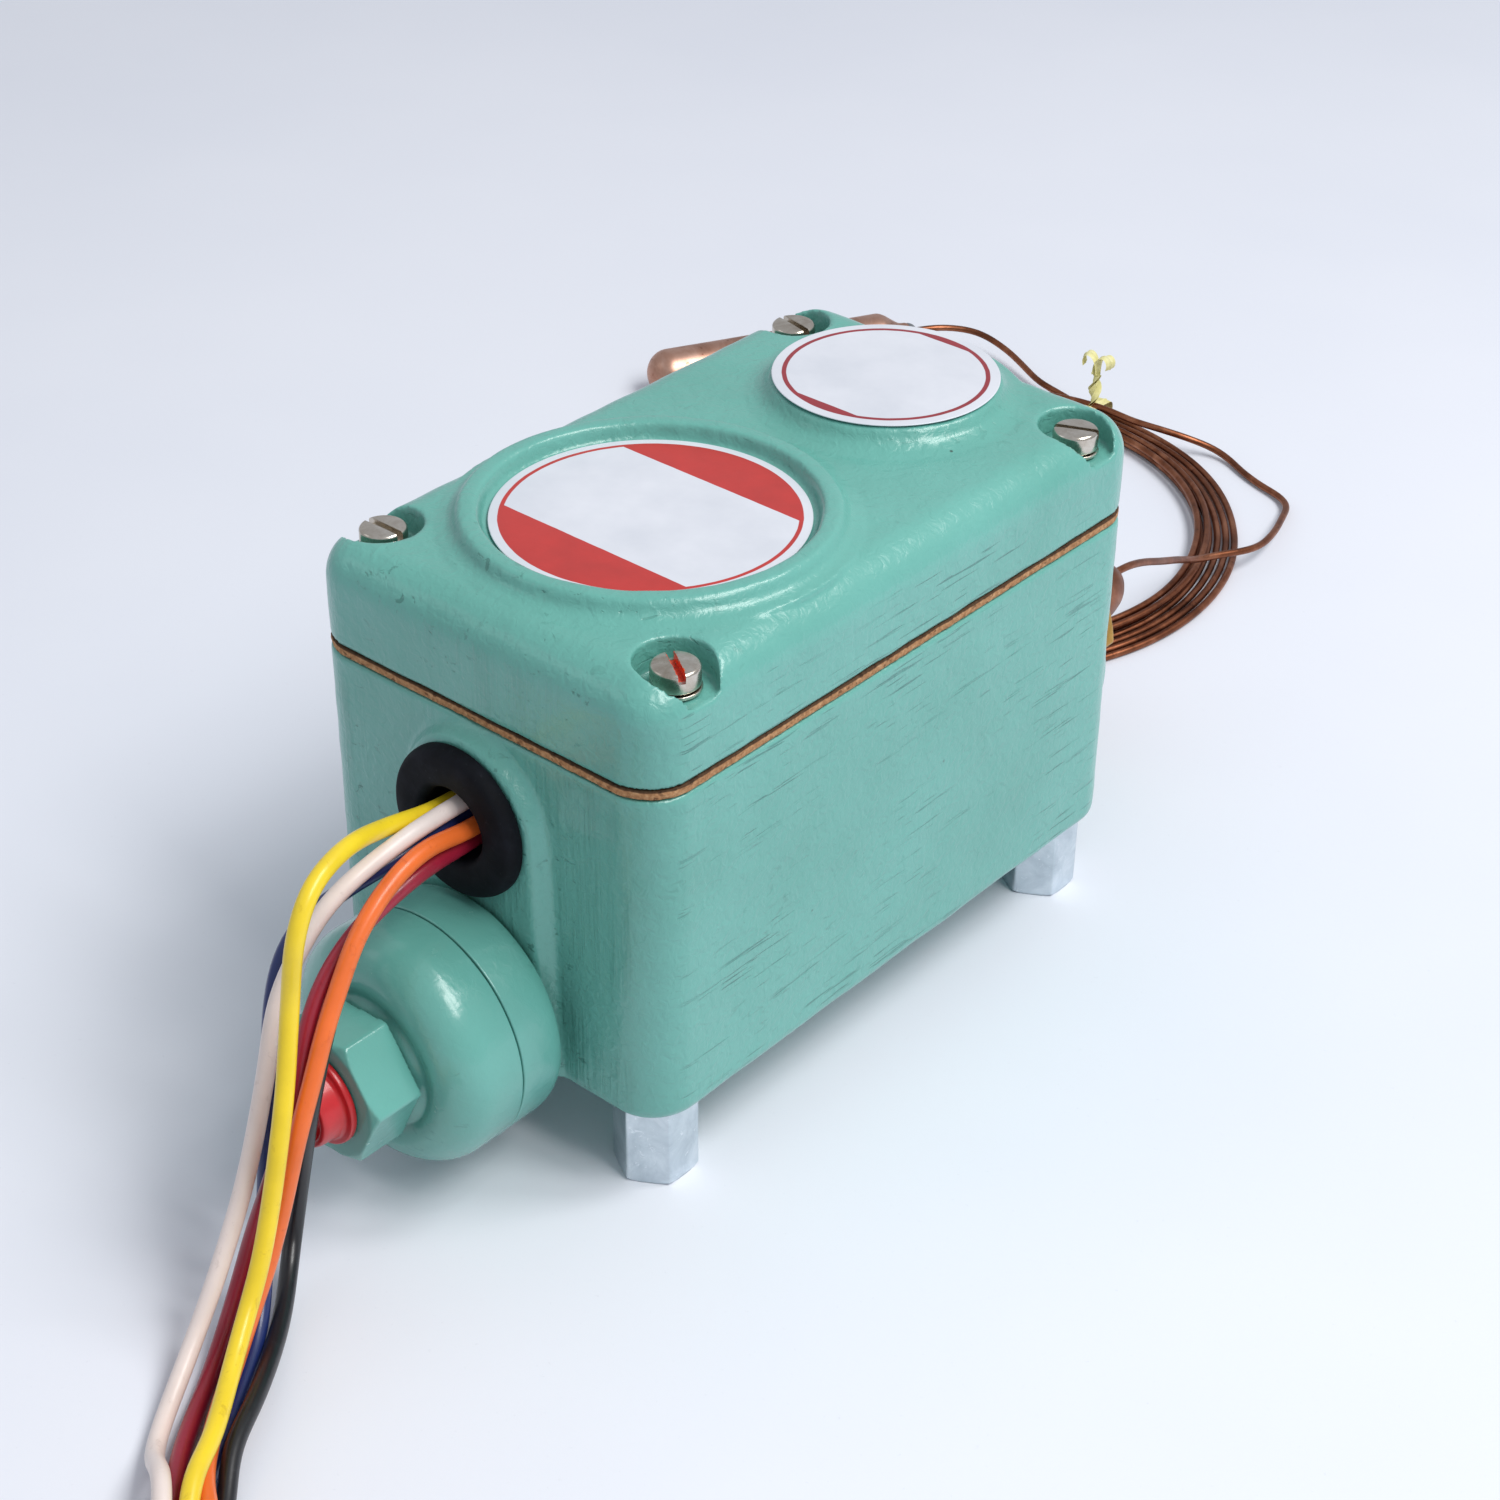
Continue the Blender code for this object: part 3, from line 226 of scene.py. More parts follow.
def paint(name, cast=1.0, streaks=True, gloss=0.22):
    """Brush-thick sea-green enamel over a sand casting: orange peel, thin creases darkened with painted shade, fine
    scratches.
    """
    m = Mat(name, Specular_IOR_Level=0.5, Coat_Weight=0.3, Coat_Roughness=0.12)
    broad = m.noise(26, 3, 0.5)
    fine = m.noise(330, 4, 0.6, 0.3)
    colour = m.ramp(broad, (0.25, PAINT_DARK), (0.50, PAINT_MID), (0.78, PAINT_LIGHT))
    colour = m.mix(m.spread(fine, 0.15, 0.85), colour, PAINT_MID)
    # orange peel, and short creases between the grains of the casting, darkened with painted shade
    peel = m.noise(560, 3, 0.5, 0.6)
    pits = m.noise(1.0, 3, 0.6, 0.7, m.stretch(330, 330, 620))
    shaded_crease = m.window(pits, 0.630, 0.675)
    patch = m.window(m.noise(42, 3, 0.55), 0.42, 0.60)
    upright = m.spread(m.facing(1), 0.30, 1.0)
    shaded_crease = m.maths("MULTIPLY", m.maths("MULTIPLY", shaded_crease, patch), m.maths("MULTIPLY", upright, 0.62 * cast))
    # painted shade: the creases' colour is darkened, most on faces square to Y
    colour = m.mix(shaded_crease, colour, srgb(50, 104, 94))
    # dirt specks
    speck = m.window(m.cells(150), 0.055, 0.035)
    keep = m.window(m.noise(70, 2), 0.60, 0.64)
    colour = m.mix(m.maths("MULTIPLY", speck, m.maths("MULTIPLY", keep, 0.8)), colour, srgb(48, 60, 52))
    relief = m.bump(peel, 0.0006, 0.46 * cast)
    relief = m.bump(m.noise(150, 3, 0.5), 0.0006, 0.16, relief)
    relief = m.bump(shaded_crease, -0.00016, 0.8, relief)
    if streaks:
        # long scratches along the sides, and brush marks down the ends
        lines = m.noise(1.0, 2.5, 0.6, 0.0, m.stretch(300, 62, 1500, (2.5, 0, 0)))
        line = m.window(lines, 0.615, 0.66)
        where = m.window(m.noise(30, 3, 0.65), 0.40, 0.56)
        side = m.window(m.facing(0), 0.93, 0.985)
        line = m.maths("MULTIPLY", m.maths("MULTIPLY", line, where), side)
        colour = m.mix(m.maths("MULTIPLY", line, 0.72), colour, srgb(56, 116, 110))
        relief = m.bump(line, -0.00014, 0.8, relief)
        drips = m.noise(1.0, 3, 0.6, 0.2, m.stretch(640, 640, 30))
        end = m.window(m.facing(1), 0.90, 0.98)
        drip = m.maths("MULTIPLY", m.maths("MULTIPLY", m.window(drips, 0.46, 0.70), end), m.window(m.noise(36, 2), 0.42, 0.58))
        colour = m.mix(m.maths("MULTIPLY", drip, 0.22), colour, srgb(56, 112, 102))
        relief = m.bump(drip, 0.00022, 0.45, relief)
    m.put("Base Color", colour)
    m.put("Roughness", m.spread(m.noise(130, 4, 0.7), gloss, gloss + 0.20))
    m.put("Normal", relief)
    return m.mat


def worn_metal(name, colours, rough, grain=900.0, relief=0.00004, blotch=160.0, spots=None, stretch=None):
    m = Mat(name, Metallic=1.0)
    vector = m.stretch(*stretch) if stretch else None
    patches = m.noise(blotch, 5, 0.65, 0.5)
    colour = m.ramp(patches, (0.32, colours[0]), (0.52, colours[1]), (0.70, colours[2]))
    fine = m.noise(grain, 4, 0.6, 0.0, vector)
    colour = m.mix(m.spread(fine, 0.0, 0.5), colour, colours[1])
    if spots:
        dots = m.window(m.noise(blotch * 3.2, 5, 0.75, 0.8), 0.60, 0.68)
        colour = m.mix(m.maths("MULTIPLY", dots, 0.8), colour, spots)
    m.put("Base Color", colour)
    m.put("Roughness", m.spread(m.noise(blotch * 1.7, 4, 0.7), rough[0], rough[1]))
    m.put("Normal", m.bump(fine, relief, 0.6, m.bump(patches, relief * 2.0, 0.4)))
    return m.mat


def cork():
    m = Mat("cork_gasket", Specular_IOR_Level=0.2)
    grains = m.cells(1500, "F1", m.stretch(1, 1, 1.5), "Color")
    tone = m.noise(1300, 4, 0.65)
    colour = m.ramp(tone, (0.30, srgb(138, 98, 66)), (0.50, srgb(170, 126, 88)), (0.70, srgb(196, 156, 116)))
    shade = m.new("ShaderNodeRGBToBW")
    m.feed(shade.inputs[0], grains)
    colour = m.mix(m.maths("MULTIPLY", m.window(shade.outputs[0], 0.74, 0.86), 0.7), colour, srgb(92, 62, 40))
    # painted shade along the top edge, where the sheet meets the cover: the shadow of the gap
    high = m.window(m.maths("ADD", m.split(m.co)[2], m.spread(m.noise(500, 2), -0.00012, 0.00012)), 0.08048, 0.08066)
    colour = m.mix(m.maths("MULTIPLY", high, 0.85), colour, srgb(40, 28, 22))
    m.put("Base Color", colour)
    m.put("Roughness", m.spread(tone, 0.8, 0.97))
    m.put("Normal", m.bump(m.cells(1500), 0.00016, 0.7, m.bump(tone, 0.00012, 0.5)))
    return m.mat


def plastic(name, colour, rough=(0.32, 0.48), vary=0.12, grain=520.0, relief=0.00003, coat=0.0, mark=None):
    m = Mat(name, Specular_IOR_Level=0.5, Coat_Weight=coat, Coat_Roughness=0.12)
    dark = tuple(c * (1 - vary) for c in colour)
    light = tuple(min(1.0, c * (1 + vary)) for c in colour)
    tone = m.noise(120, 4, 0.6)
    shade = m.ramp(tone, (0.32, dark), (0.50, colour), (0.70, light))
    if mark:
        smear = m.window(m.noise(330, 4, 0.7, 0.5), 0.60, 0.72)
        shade = m.mix(m.maths("MULTIPLY", smear, 0.55), shade, mark)
    m.put("Base Color", shade)
    m.put("Roughness", m.spread(m.noise(210, 4, 0.65), *rough))
    m.put("Normal", m.bump(m.noise(grain, 3, 0.6), relief, 0.7))
    return m.mat


def rubber():
    m = Mat("grommet_rubber", Specular_IOR_Level=0.12)
    tone = m.noise(160, 5, 0.65)
    colour = m.ramp(tone, (0.3, srgb(9, 10, 14)), (0.52, srgb(15, 17, 23)), (0.74, srgb(25, 27, 35)))
    dust = m.window(m.noise(1200, 3, 0.7), 0.66, 0.74)
    m.put("Base Color", m.mix(m.maths("MULTIPLY", dust, 0.3), colour, srgb(70, 72, 78)))
    m.put("Roughness", m.spread(m.noise(260, 4), 0.52, 0.78))
    m.put("Normal", m.bump(m.noise(900, 4, 0.6), 0.00006, 0.6, m.bump(m.noise(190, 3), 0.0002, 0.3)))
    return m.mat


def label(name, centre, ring, line, chord_up, chord_down, red):
    """White printed plate: a thin red circle, cut by two straight chords with red outside them."""
    m = Mat(name, Specular_IOR_Level=0.5, Coat_Weight=0.3, Coat_Roughness=0.2)
    away = m.new("ShaderNodeVectorMath", operation="SUBTRACT")
    m.feed(away.inputs[0], m.co)
    away.inputs[1].default_value = W(*centre)
    wobble = m.maths("MULTIPLY", m.maths("SUBTRACT", m.noise(420, 3), 0.5), 0.00014)
    x, y, _ = m.split(away.outputs[0])
    far = m.maths("SQRT", m.maths("ADD", m.maths("MULTIPLY", x, x), m.maths("MULTIPLY", y, y)))
    far = m.maths("ADD", far, wobble)
    y = m.maths("ADD", y, wobble)
    soft = 0.00005
    inside = m.window(far, ring * MM + soft, ring * MM - soft)
    core = m.window(far, (ring - line) * MM - soft, (ring - line) * MM + soft)
    up = m.window(y, chord_up * MM - soft, chord_up * MM + soft)
    down = m.window(y, -chord_down * MM + soft, -chord_down * MM - soft)
    segment = m.maths("MAXIMUM", core, m.maths("MAXIMUM", up, down))
    mask = m.maths("MULTIPLY", inside, segment)
    white = m.ramp(m.noise(60, 4, 0.6), (0.3, srgb(203, 207, 216)), (0.7, srgb(217, 220, 228)))
    ink = m.ramp(m.noise(140, 4, 0.6), (0.3, red), (0.7, tuple(c * 1.18 for c in red)))
    m.put("Base Color", m.mix(mask, white, ink))
    m.put("Roughness", m.spread(m.noise(90, 4, 0.7), 0.30, 0.46))
    m.put("Normal", m.bump(m.noise(160, 3), 0.00008, 0.35, m.bump(m.noise(1500, 2), 0.00001, 0.5)))
    return m.mat


def paper():
    m = Mat("paper_tie", Specular_IOR_Level=0.25, Transmission_Weight=0.0)
    m.put("Base Color", m.ramp(m.noise(420, 4, 0.7), (0.3, srgb(205, 198, 128)), (0.52, srgb(226, 220, 158)), (0.72, srgb(240, 236, 190))))
    m.put("Roughness", m.spread(m.noise(600, 3), 0.55, 0.8))
    m.put("Normal", m.bump(m.noise(800, 4, 0.7), 0.0001, 0.6))
    return m.mat


def slot_paint(name, base_colours, centre, turn_deg):
    """The screw metal, with orange-red marking paint laid in the slot and a little over its edges."""
    m = Mat(name, Metallic=1.0)
    patches = m.noise(260, 4, 0.6, 0.4)
    metal = m.ramp(patches, (0.32, base_colours[0]), (0.52, base_colours[1]), (0.70, base_colours[2]))
    away = m.new("ShaderNodeVectorMath", operation="SUBTRACT")
    m.feed(away.inputs[0], m.co)
    away.inputs[1].default_value = W(*centre)
    across = m.new("ShaderNodeVectorMath", operation="DOT_PRODUCT")
    m.feed(across.inputs[0], away.outputs[0])
    a = math.radians(turn_deg)
    across.inputs[1].default_value = (-math.sin(a), math.cos(a), 0.0)
    along = m.new("ShaderNodeVectorMath", operation="DOT_PRODUCT")
    m.feed(along.inputs[0], away.outputs[0])
    along.inputs[1].default_value = (math.cos(a), math.sin(a), 0.0)
    ragged = m.maths("MULTIPLY", m.maths("SUBTRACT", m.noise(900, 3, 0.6), 0.5), 0.0009)
    near = m.window(m.maths("ADD", m.maths("ABSOLUTE", across.outputs["Value"]), ragged), 0.00076, 0.00068)
    end = m.window(m.maths("ADD", m.maths("ABSOLUTE", along.outputs["Value"]), ragged), 0.0034, 0.0032)
    high = m.window(m.split(away.outputs[0])[2], -0.0019, -0.0017)
    mask = m.maths("MULTIPLY", m.maths("MULTIPLY", near, end), high)
    ink = m.ramp(m.noise(700, 4, 0.7), (0.3, srgb(168, 44, 16)), (0.55, srgb(226, 74, 28)), (0.75, srgb(240, 110, 60)))
    m.put("Base Color", m.mix(mask, metal, ink))
    m.put("Metallic", m.spread(mask, 1.0, 0.0))
    m.put("Roughness", m.spread(m.noise(500, 4), 0.16, 0.34))
    m.put("Normal", m.bump(m.noise(700, 3), 0.00003, 0.5, m.bump(mask, 0.00012, 0.6)))
    return m.mat


NICKEL_TONES = (srgb(176, 164, 148), srgb(206, 198, 186), srgb(226, 221, 212))
PAINTED = paint("sea_green_cast", 1.0, True, 0.22)
PAINTED_TURNED = paint("sea_green_turned", 0.35, False, 0.14)
CORK = cork()
NICKEL = worn_metal("nickel", NICKEL_TONES, (0.14, 0.30), 700, 0.00003, 260)
ZINC = worn_metal("zinc_plate", (srgb(178, 190, 198), srgb(208, 218, 224), srgb(230, 237, 242)), (0.22, 0.42), 420, 0.00004, 150, srgb(238, 243, 248), (1, 1, 0.10))
BRASS = worn_metal("turned_brass", (srgb(150, 112, 52), srgb(198, 156, 84), srgb(222, 186, 116)), (0.20, 0.42), 700, 0.00003, 200, srgb(96, 68, 36))
COPPER = worn_metal("aged_copper", (srgb(92, 54, 38), srgb(142, 88, 62), srgb(186, 128, 98)), (0.28, 0.52), 500, 0.00003, 130, srgb(66, 40, 32))
BRIGHT_COPPER = worn_metal("bright_copper", (srgb(160, 114, 94), srgb(194, 150, 130), srgb(216, 178, 160)), (0.30, 0.48), 500, 0.00003, 120, srgb(128, 76, 56))
BRONZE = worn_metal("phosphor_bronze", (srgb(156, 112, 66), srgb(196, 152, 98), srgb(220, 182, 130)), (0.20, 0.40), 500, 0.00003, 160)
STEEL = worn_metal("plated_steel", (srgb(146, 148, 150), srgb(178, 180, 182), srgb(204, 205, 206)), (0.24, 0.44), 620, 0.00003, 140, None)
SPRING_STEEL = worn_metal("spring_steel", (srgb(112, 114, 118), srgb(150, 152, 156), srgb(186, 188, 190)), (0.20, 0.36), 900, 0.00002, 220)
RUBBER = rubber()
PHENOLIC = plastic("black_phenolic", srgb(34, 32, 31), (0.34, 0.56), 0.25, 700, 0.00005)
NYLON = plastic("natural_nylon", srgb(224, 220, 204), (0.30, 0.46), 0.05)
RED_PLASTIC = plastic("red_plug", srgb(196, 34, 40), (0.24, 0.40), 0.16, 420, 0.00005, 0.2)
PAPER = paper()
SHEATHS = {
    "yellow": plastic("sheath_yellow", srgb(236, 206, 40), (0.28, 0.42), 0.06, 420, 0.00004, 0.15, srgb(196, 160, 30)),
    "white": plastic("sheath_white", srgb(228, 214, 208), (0.32, 0.46), 0.05, 420, 0.00004, 0.1, srgb(196, 180, 172)),
    "orange": plastic("sheath_orange", srgb(232, 110, 44), (0.28, 0.42), 0.07, 420, 0.00004, 0.15, srgb(196, 84, 34)),
    "red": plastic("sheath_red", srgb(150, 28, 52), (0.26, 0.40), 0.12, 420, 0.00004, 0.2, srgb(104, 18, 38)),
    "black": plastic("sheath_black", srgb(22, 22, 26), (0.28, 0.42), 0.2, 420, 0.00004, 0.2, srgb(44, 44, 48)),
    "blue": plastic("sheath_blue", srgb(28, 44, 100), (0.28, 0.42), 0.15, 420, 0.00004, 0.2, srgb(20, 30, 70)),
}

# =============================================================================
# mesh helpers


def add(name, bm, mat, body="root", angle=36.0, to_world=True, flip=True):
    """An object from a bmesh in local millimetres, placed in the row frame with its origin at the frame's."""
    if flip:
        bmesh.ops.recalc_face_normals(bm, faces=bm.faces)
        if bm.calc_volume(signed=True) < 0:
            bmesh.ops.reverse_faces(bm, faces=bm.faces)
    if to_world:
        bm.transform(Matrix.Translation(SHIFT))
        bm.transform(Matrix.Scale(MM, 4))
    mesh = bpy.data.meshes.new(name)
    bm.to_mesh(mesh)
    bm.free()
    mesh.shade_smooth()
    mesh.set_sharp_from_angle(angle=math.radians(angle))
    obj = bpy.data.objects.new(name, mesh)
    COLLECTION.objects.link(obj)
    if mat is not None:
        mesh.materials.append(mat)
    if body:
        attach(obj, body)
    return obj


def settle(obj, angle=None):
    """Puts the modifiers' result into the mesh."""
    bpy.context.view_layer.update()
    graph = bpy.context.evaluated_depsgraph_get()
    mesh = bpy.data.meshes.new_from_object(obj.evaluated_get(graph))
    old = obj.data
    obj.modifiers.clear()
    obj.data = mesh
    bpy.data.meshes.remove(old)
    if angle is not None:
        mesh.shade_smooth()
        mesh.set_sharp_from_angle(angle=math.radians(angle))
    return obj


def carve(obj, *cuts, angle=36.0):
    """Boolean operations, each (operation, helper); the helpers are removed."""
    for operation, helper in cuts:
        mod = obj.modifiers.new(operation, "BOOLEAN")
        mod.operation, mod.solver, mod.object = operation, "EXACT", helper
    settle(obj, angle)
    for _, helper in cuts:
        old = helper.data
        bpy.data.objects.remove(helper)
        bpy.data.meshes.remove(old)
    return obj


def cast(obj, voxel, smooth=5, keep=0.35, factor=0.5):
    """Softens every edge as a casting or thick paint does: fine remesh, then smoothing."""
    mod = obj.modifiers.new("remesh", "REMESH")
    mod.mode, mod.voxel_size, mod.use_smooth_shade = "VOXEL", voxel * MM, True
    if smooth:
        mod = obj.modifiers.new("smooth", "SMOOTH")
        mod.iterations, mod.factor = smooth, factor
    settle(obj)
    return obj


def thin(obj, keep):
    mod = obj.modifiers.new("thin", "DECIMATE")
    mod.ratio = keep
    settle(obj)
    obj.data.shade_smooth()
    return obj


def points_of(obj):
    co = np.empty(len(obj.data.vertices) * 3, np.float32)
    obj.data.vertices.foreach_get("co", co)
    return co.reshape(-1, 3)


def put_points(obj, co):
    obj.data.vertices.foreach_set("co", co.astype(np.float32).ravel())
    obj.data.update()


def normals_of(obj):
    n = np.empty(len(obj.data.vertices) * 3, np.float32)
    obj.data.vertices.foreach_get("normal", n)
    return n.reshape(-1, 3)


def waves(co, short, long, count, seed):
    """A smooth random field over points in metres, about -1 to 1, with wavelengths in millimetres."""
    pick = np.random.default_rng(seed)
    total = np.zeros(len(co))
    for _ in range(count):
        d = pick.normal(size=3)
        d /= np.linalg.norm(d)
        k = 2 * math.pi / (pick.uniform(short, long) * MM)
        total += np.sin(co @ d * k + pick.uniform(0, 2 * math.pi))
    return total / math.sqrt(count)


def uneven(obj, depth, short, long, count=14, seed=3, low=None, high=None):
    """Moves the surface in and out by a fraction of a millimetre, inside given heights."""
    co = points_of(obj)
    push = np.clip(waves(co, short, long, count, seed), -1.6, 1.6) * depth * MM
    new = co + normals_of(obj) * push[:, None]
    if low is not None:
        new[:, 2] = np.maximum(new[:, 2], low * MM)
    if high is not None:
        new[:, 2] = np.minimum(new[:, 2], high * MM)
    put_points(obj, new)
    return obj


def ring_of(bm, pts):
    return [bm.verts.new(p) for p in pts]


def skin(bm, rings, cap=True):
    for a, b in zip(rings, rings[1:]):
        n = len(a)
        for i in range(n):
            bm.faces.new((a[i], a[(i + 1) % n], b[(i + 1) % n], b[i]))
    if cap:
        bm.faces.new(list(reversed(rings[0])))
        bm.faces.new(rings[-1])


def rounded_rect(half_x, half_y, r, steps=14):
    out = []
    for cx, cy, a0 in ((half_x - r, half_y - r, 0), (-half_x + r, half_y - r, 90), (-half_x + r, -half_y + r, 180), (half_x - r, -half_y + r, 270)):
        for i in range(steps + 1):
            a = math.radians(a0 + 90.0 * i / steps)
            out.append((cx + r * math.cos(a), cy + r * math.sin(a)))
    return out


def circle(r, steps, cx=0.0, cy=0.0, turn=0.0):
    return [(cx + r * math.cos(turn + 2 * math.pi * i / steps), cy + r * math.sin(turn + 2 * math.pi * i / steps)) for i in range(steps)]


def arc(cx, cy, r, a0, a1, steps):
    return [(cx + r * math.cos(math.radians(a0 + (a1 - a0) * i / steps)), cy + r * math.sin(math.radians(a0 + (a1 - a0) * i / steps))) for i in range(steps + 1)]


def soften(points, radius, steps=5, closed=False):
    """Rounds each corner of a 2D path. A point may carry its own radius as a third number."""
    pts = [Vector(p[:2]) for p in points]
    own = [p[2] if len(p) > 2 else radius for p in points]
    n = len(pts)
    out = []
    for i, p in enumerate(pts):
        if not closed and i in (0, n - 1) or own[i] <= 0:
            out.append(tuple(p))
            continue
        a, b = pts[i - 1] - p, pts[(i + 1) % n] - p
        cut = min(own[i], 0.45 * a.length, 0.45 * b.length)
        if cut < 1e-4:
            out.append(tuple(p))
            continue
        s, e = p + a.normalized() * cut, p + b.normalized() * cut
        for k in range(steps + 1):
            t = k / steps
            q = s * (1 - t) ** 2 + p * 2 * t * (1 - t) + e * t**2
            out.append((q.x, q.y))
    return out


def prism(outline, z0, z1):
    bm = bmesh.new()
    skin(bm, [ring_of(bm, [(x, y, z) for x, y in outline]) for z in (z0, z1)])
    return bm


def axis_matrix(axis, centre):
    turn = {
        "+Z": Matrix.Identity(4),
        "+X": Matrix.Rotation(math.radians(90), 4, "Y"),
        "+Y": Matrix.Rotation(math.radians(-90), 4, "X"),
        "-Y": Matrix.Rotation(math.radians(90), 4, "X"),
    }[axis]
    return Matrix.Translation(Vector(centre)) @ turn


def lathe(profile, steps, axis="+Z", centre=(0, 0, 0)):
    """A (radius, height) profile spun about an axis. One that starts off the axis is a closed ring."""
    bm = bmesh.new()
    ring = profile[0][0] > 1e-6
    rows = []
    for r, h in profile:
        if r < 1e-6:
            rows.append([bm.verts.new((0, 0, h))])
        else:
            rows.append(ring_of(bm, [(x, y, h) for x, y in circle(r, steps)]))
    pairs = list(zip(rows, rows[1:])) + ([(rows[-1], rows[0])] if ring else [])
    for a, b in pairs:
        for i in range(steps):
            j = (i + 1) % steps
            if len(a) == 1 and len(b) == 1:
                break
            if len(a) == 1:
                bm.faces.new((a[0], b[j], b[i]))
            elif len(b) == 1:
                bm.faces.new((a[i], a[j], b[0]))
            else:
                bm.faces.new((a[i], a[j], b[j], b[i]))
    bm.transform(axis_matrix(axis, centre))
    return bm


def helper(bm):
    return add("helper", bm, None, body=None)


def rod(r, z0, z1, axis="+Z", centre=(0, 0, 0), steps=64):
    bm = prism(circle(r, steps), z0, z1)
    bm.transform(axis_matrix(axis, centre))
    return helper(bm)


def inner_outline(lobe_r, half_x, half_y):
    reach = math.degrees(math.acos((half_x - SCREW_X) / lobe_r))
    quarter = [(half_x, SCREW_Y - lobe_r * math.sin(math.radians(reach)))]
    quarter += arc(SCREW_X, SCREW_Y, lobe_r, -reach, -180.0, 14)[1:]
    quarter += [(SCREW_X - lobe_r, half_y)]
    out = []
    for sx, sy, back in ((1, 1, False), (-1, 1, True), (-1, -1, False), (1, -1, True)):
        pts = [(sx * x, sy * y) for x, y in quarter]
        out += list(reversed(pts)) if back else pts
    return out


# =============================================================================
# free cords

LEAD_D, CAP_D = 3.0, 1.6
GROMMET_Z = 62.9
COIL_X, COIL_Y = 65.8, -169.6
COIL_COLUMNS = (13.35, 16.5, 19.65)
COIL_ROWS = (1.6, 7.8)
COIL_RO, COIL_H = 21.3, 12.5
COIL_HEADING = 40.46
RING_X, RING_Y, RING_RO, RING_RI, RING_H = -73.0, 151.5, 71.3, 60.0, 4.2
HOLE = {"yellow": (-3.1, 1.8), "white": (0.5, 3.6), "orange": (3.5, 0.6), "red": (2.3, -2.8), "black": (-2.2, -2.9), "blue": (-0.1, 0.2)}
BLADE = {"yellow": (-9.45, 73.0), "blue": (-9.45, 62.5), "black": (-9.45, 52.0), "white": (9.45, 73.0), "orange": (9.45, 62.5), "red": (9.45, 52.0)}
LEADS = {
    "yellow": [(-1.9, -81.5, 67.9), (1.8, -92.9, 71.7), (4.7, -102.6, 70.8), (5.8, -107.3, 64.5), (5.5, -109.0, 54.1), (9.3, -115.0, 40.6), (11.1, -118.5, 34.0), (12.1, -121.5, 26.6), (13.6, -126.3, 17.0), (15.0, -130.5, 11.8), (17.8, -135.3, 9.3), (23.3, -142.7, 8.3), (28.1, -149.1, 8.4), (32.4, -156.2, 9.0)],
    "white": [(1.1, -81.8, 66.4), (-0.2, -94.8, 62.1), (-1.4, -100.2, 56.1), (-2.3, -105.3, 47.9), (0.0, -111.1, 36.9), (4.4, -120.2, 25.1), (7.5, -130.2, 13.4), (9.5, -137.8, 5.7), (18.3, -152.4, 2.1), (29.3, -159.2, 9.2)],
    "orange": [(3.9, -78.7, 65.0), (5.4, -88.7, 63.4), (6.3, -96.1, 58.5), (7.4, -100.8, 53.2), (8.5, -105.3, 47.8), (10.2, -110.6, 40.3), (10.8, -113.9, 34.8), (10.6, -116.2, 28.2), (10.2, -117.7, 22.8), (10.0, -120.2, 16.2), (10.6, -123.1, 11.8), (11.6, -126.3, 8.8), (13.6, -130.3, 6.6), (16.7, -135.3, 5.2), (20.3, -140.8, 4.7), (25.2, -147.2, 4.8), (31.9, -154.0, 5.9)],
    "red": [(3.5, -76.2, 61.3), (4.4, -85.9, 60.8), (3.7, -95.0, 56.7), (3.8, -100.7, 52.2), (4.9, -105.2, 47.6), (7.4, -111.3, 37.2), (6.9, -116.2, 26.0), (5.7, -120.4, 15.9), (6.6, -126.4, 5.9), (12.1, -136.1, 1.8), (21.8, -150.0, 2.6), (29.8, -158.4, 4.4)],
    "blue": [(0.4, -81.9, 63.2), (-3.2, -90.5, 59.7), (-6.3, -96.3, 55.2), (-7.0, -100.2, 50.2), (-5.4, -104.2, 43.6), (-1.5, -109.0, 34.7), (2.8, -115.0, 20.8), (5.9, -119.5, 9.0), (12.1, -126.7, 3.3), (18.5, -135.9, 1.8), (25.3, -145.8, 1.6), (31.3, -156.1, 1.6)],
    "black": [(-0.1, -78.4, 60.3), (-0.2, -86.2, 56.4), (1.7, -94.8, 50.6), (5.3, -102.6, 44.4), (7.2, -108.1, 35.0), (3.3, -108.4, 18.7), (3.4, -111.7, 6.2), (12.7, -122.6, 2.8), (23.0, -136.4, 4.2), (28.6, -146.1, 4.2), (32.0, -150.0, 2.8), (35.4, -153.6, 1.7)],
}
COIL_PLACE = {"black": (0, 0), "blue": (1, 0), "red": (2, 0), "orange": (0, 1), "yellow": (1, 1), "white": (2, 1)}


def spline(points, spacing):
    """Centripetal spline through the points, read off at equal spacing."""
    pts = [np.array(p, float) for p in points]
    pts = [2 * pts[0] - pts[1]] + pts + [2 * pts[-1] - pts[-2]]
    fine = []
    for p0, p1, p2, p3 in zip(pts, pts[1:], pts[2:], pts[3:]):
        t0 = 0.0
        t1 = t0 + np.linalg.norm(p1 - p0) ** 0.5
        t2 = t1 + np.linalg.norm(p2 - p1) ** 0.5
        t3 = t2 + np.linalg.norm(p3 - p2) ** 0.5
        for i in range(24):
            t = t1 + (t2 - t1) * i / 24.0
            a1 = p0 * ((t1 - t) / (t1 - t0)) + p1 * ((t - t0) / (t1 - t0))
            a2 = p1 * ((t2 - t) / (t2 - t1)) + p2 * ((t - t1) / (t2 - t1))
            a3 = p2 * ((t3 - t) / (t3 - t2)) + p3 * ((t - t2) / (t3 - t2))
            b1 = a1 * ((t2 - t) / (t2 - t0)) + a2 * ((t - t0) / (t2 - t0))
            b2 = a2 * ((t3 - t) / (t3 - t1)) + a3 * ((t - t1) / (t3 - t1))
            fine.append(b1 * ((t2 - t) / (t2 - t1)) + b2 * ((t - t1) / (t2 - t1)))
    fine.append(np.array(points[-1], float))
    return evenly(np.array(fine), spacing)


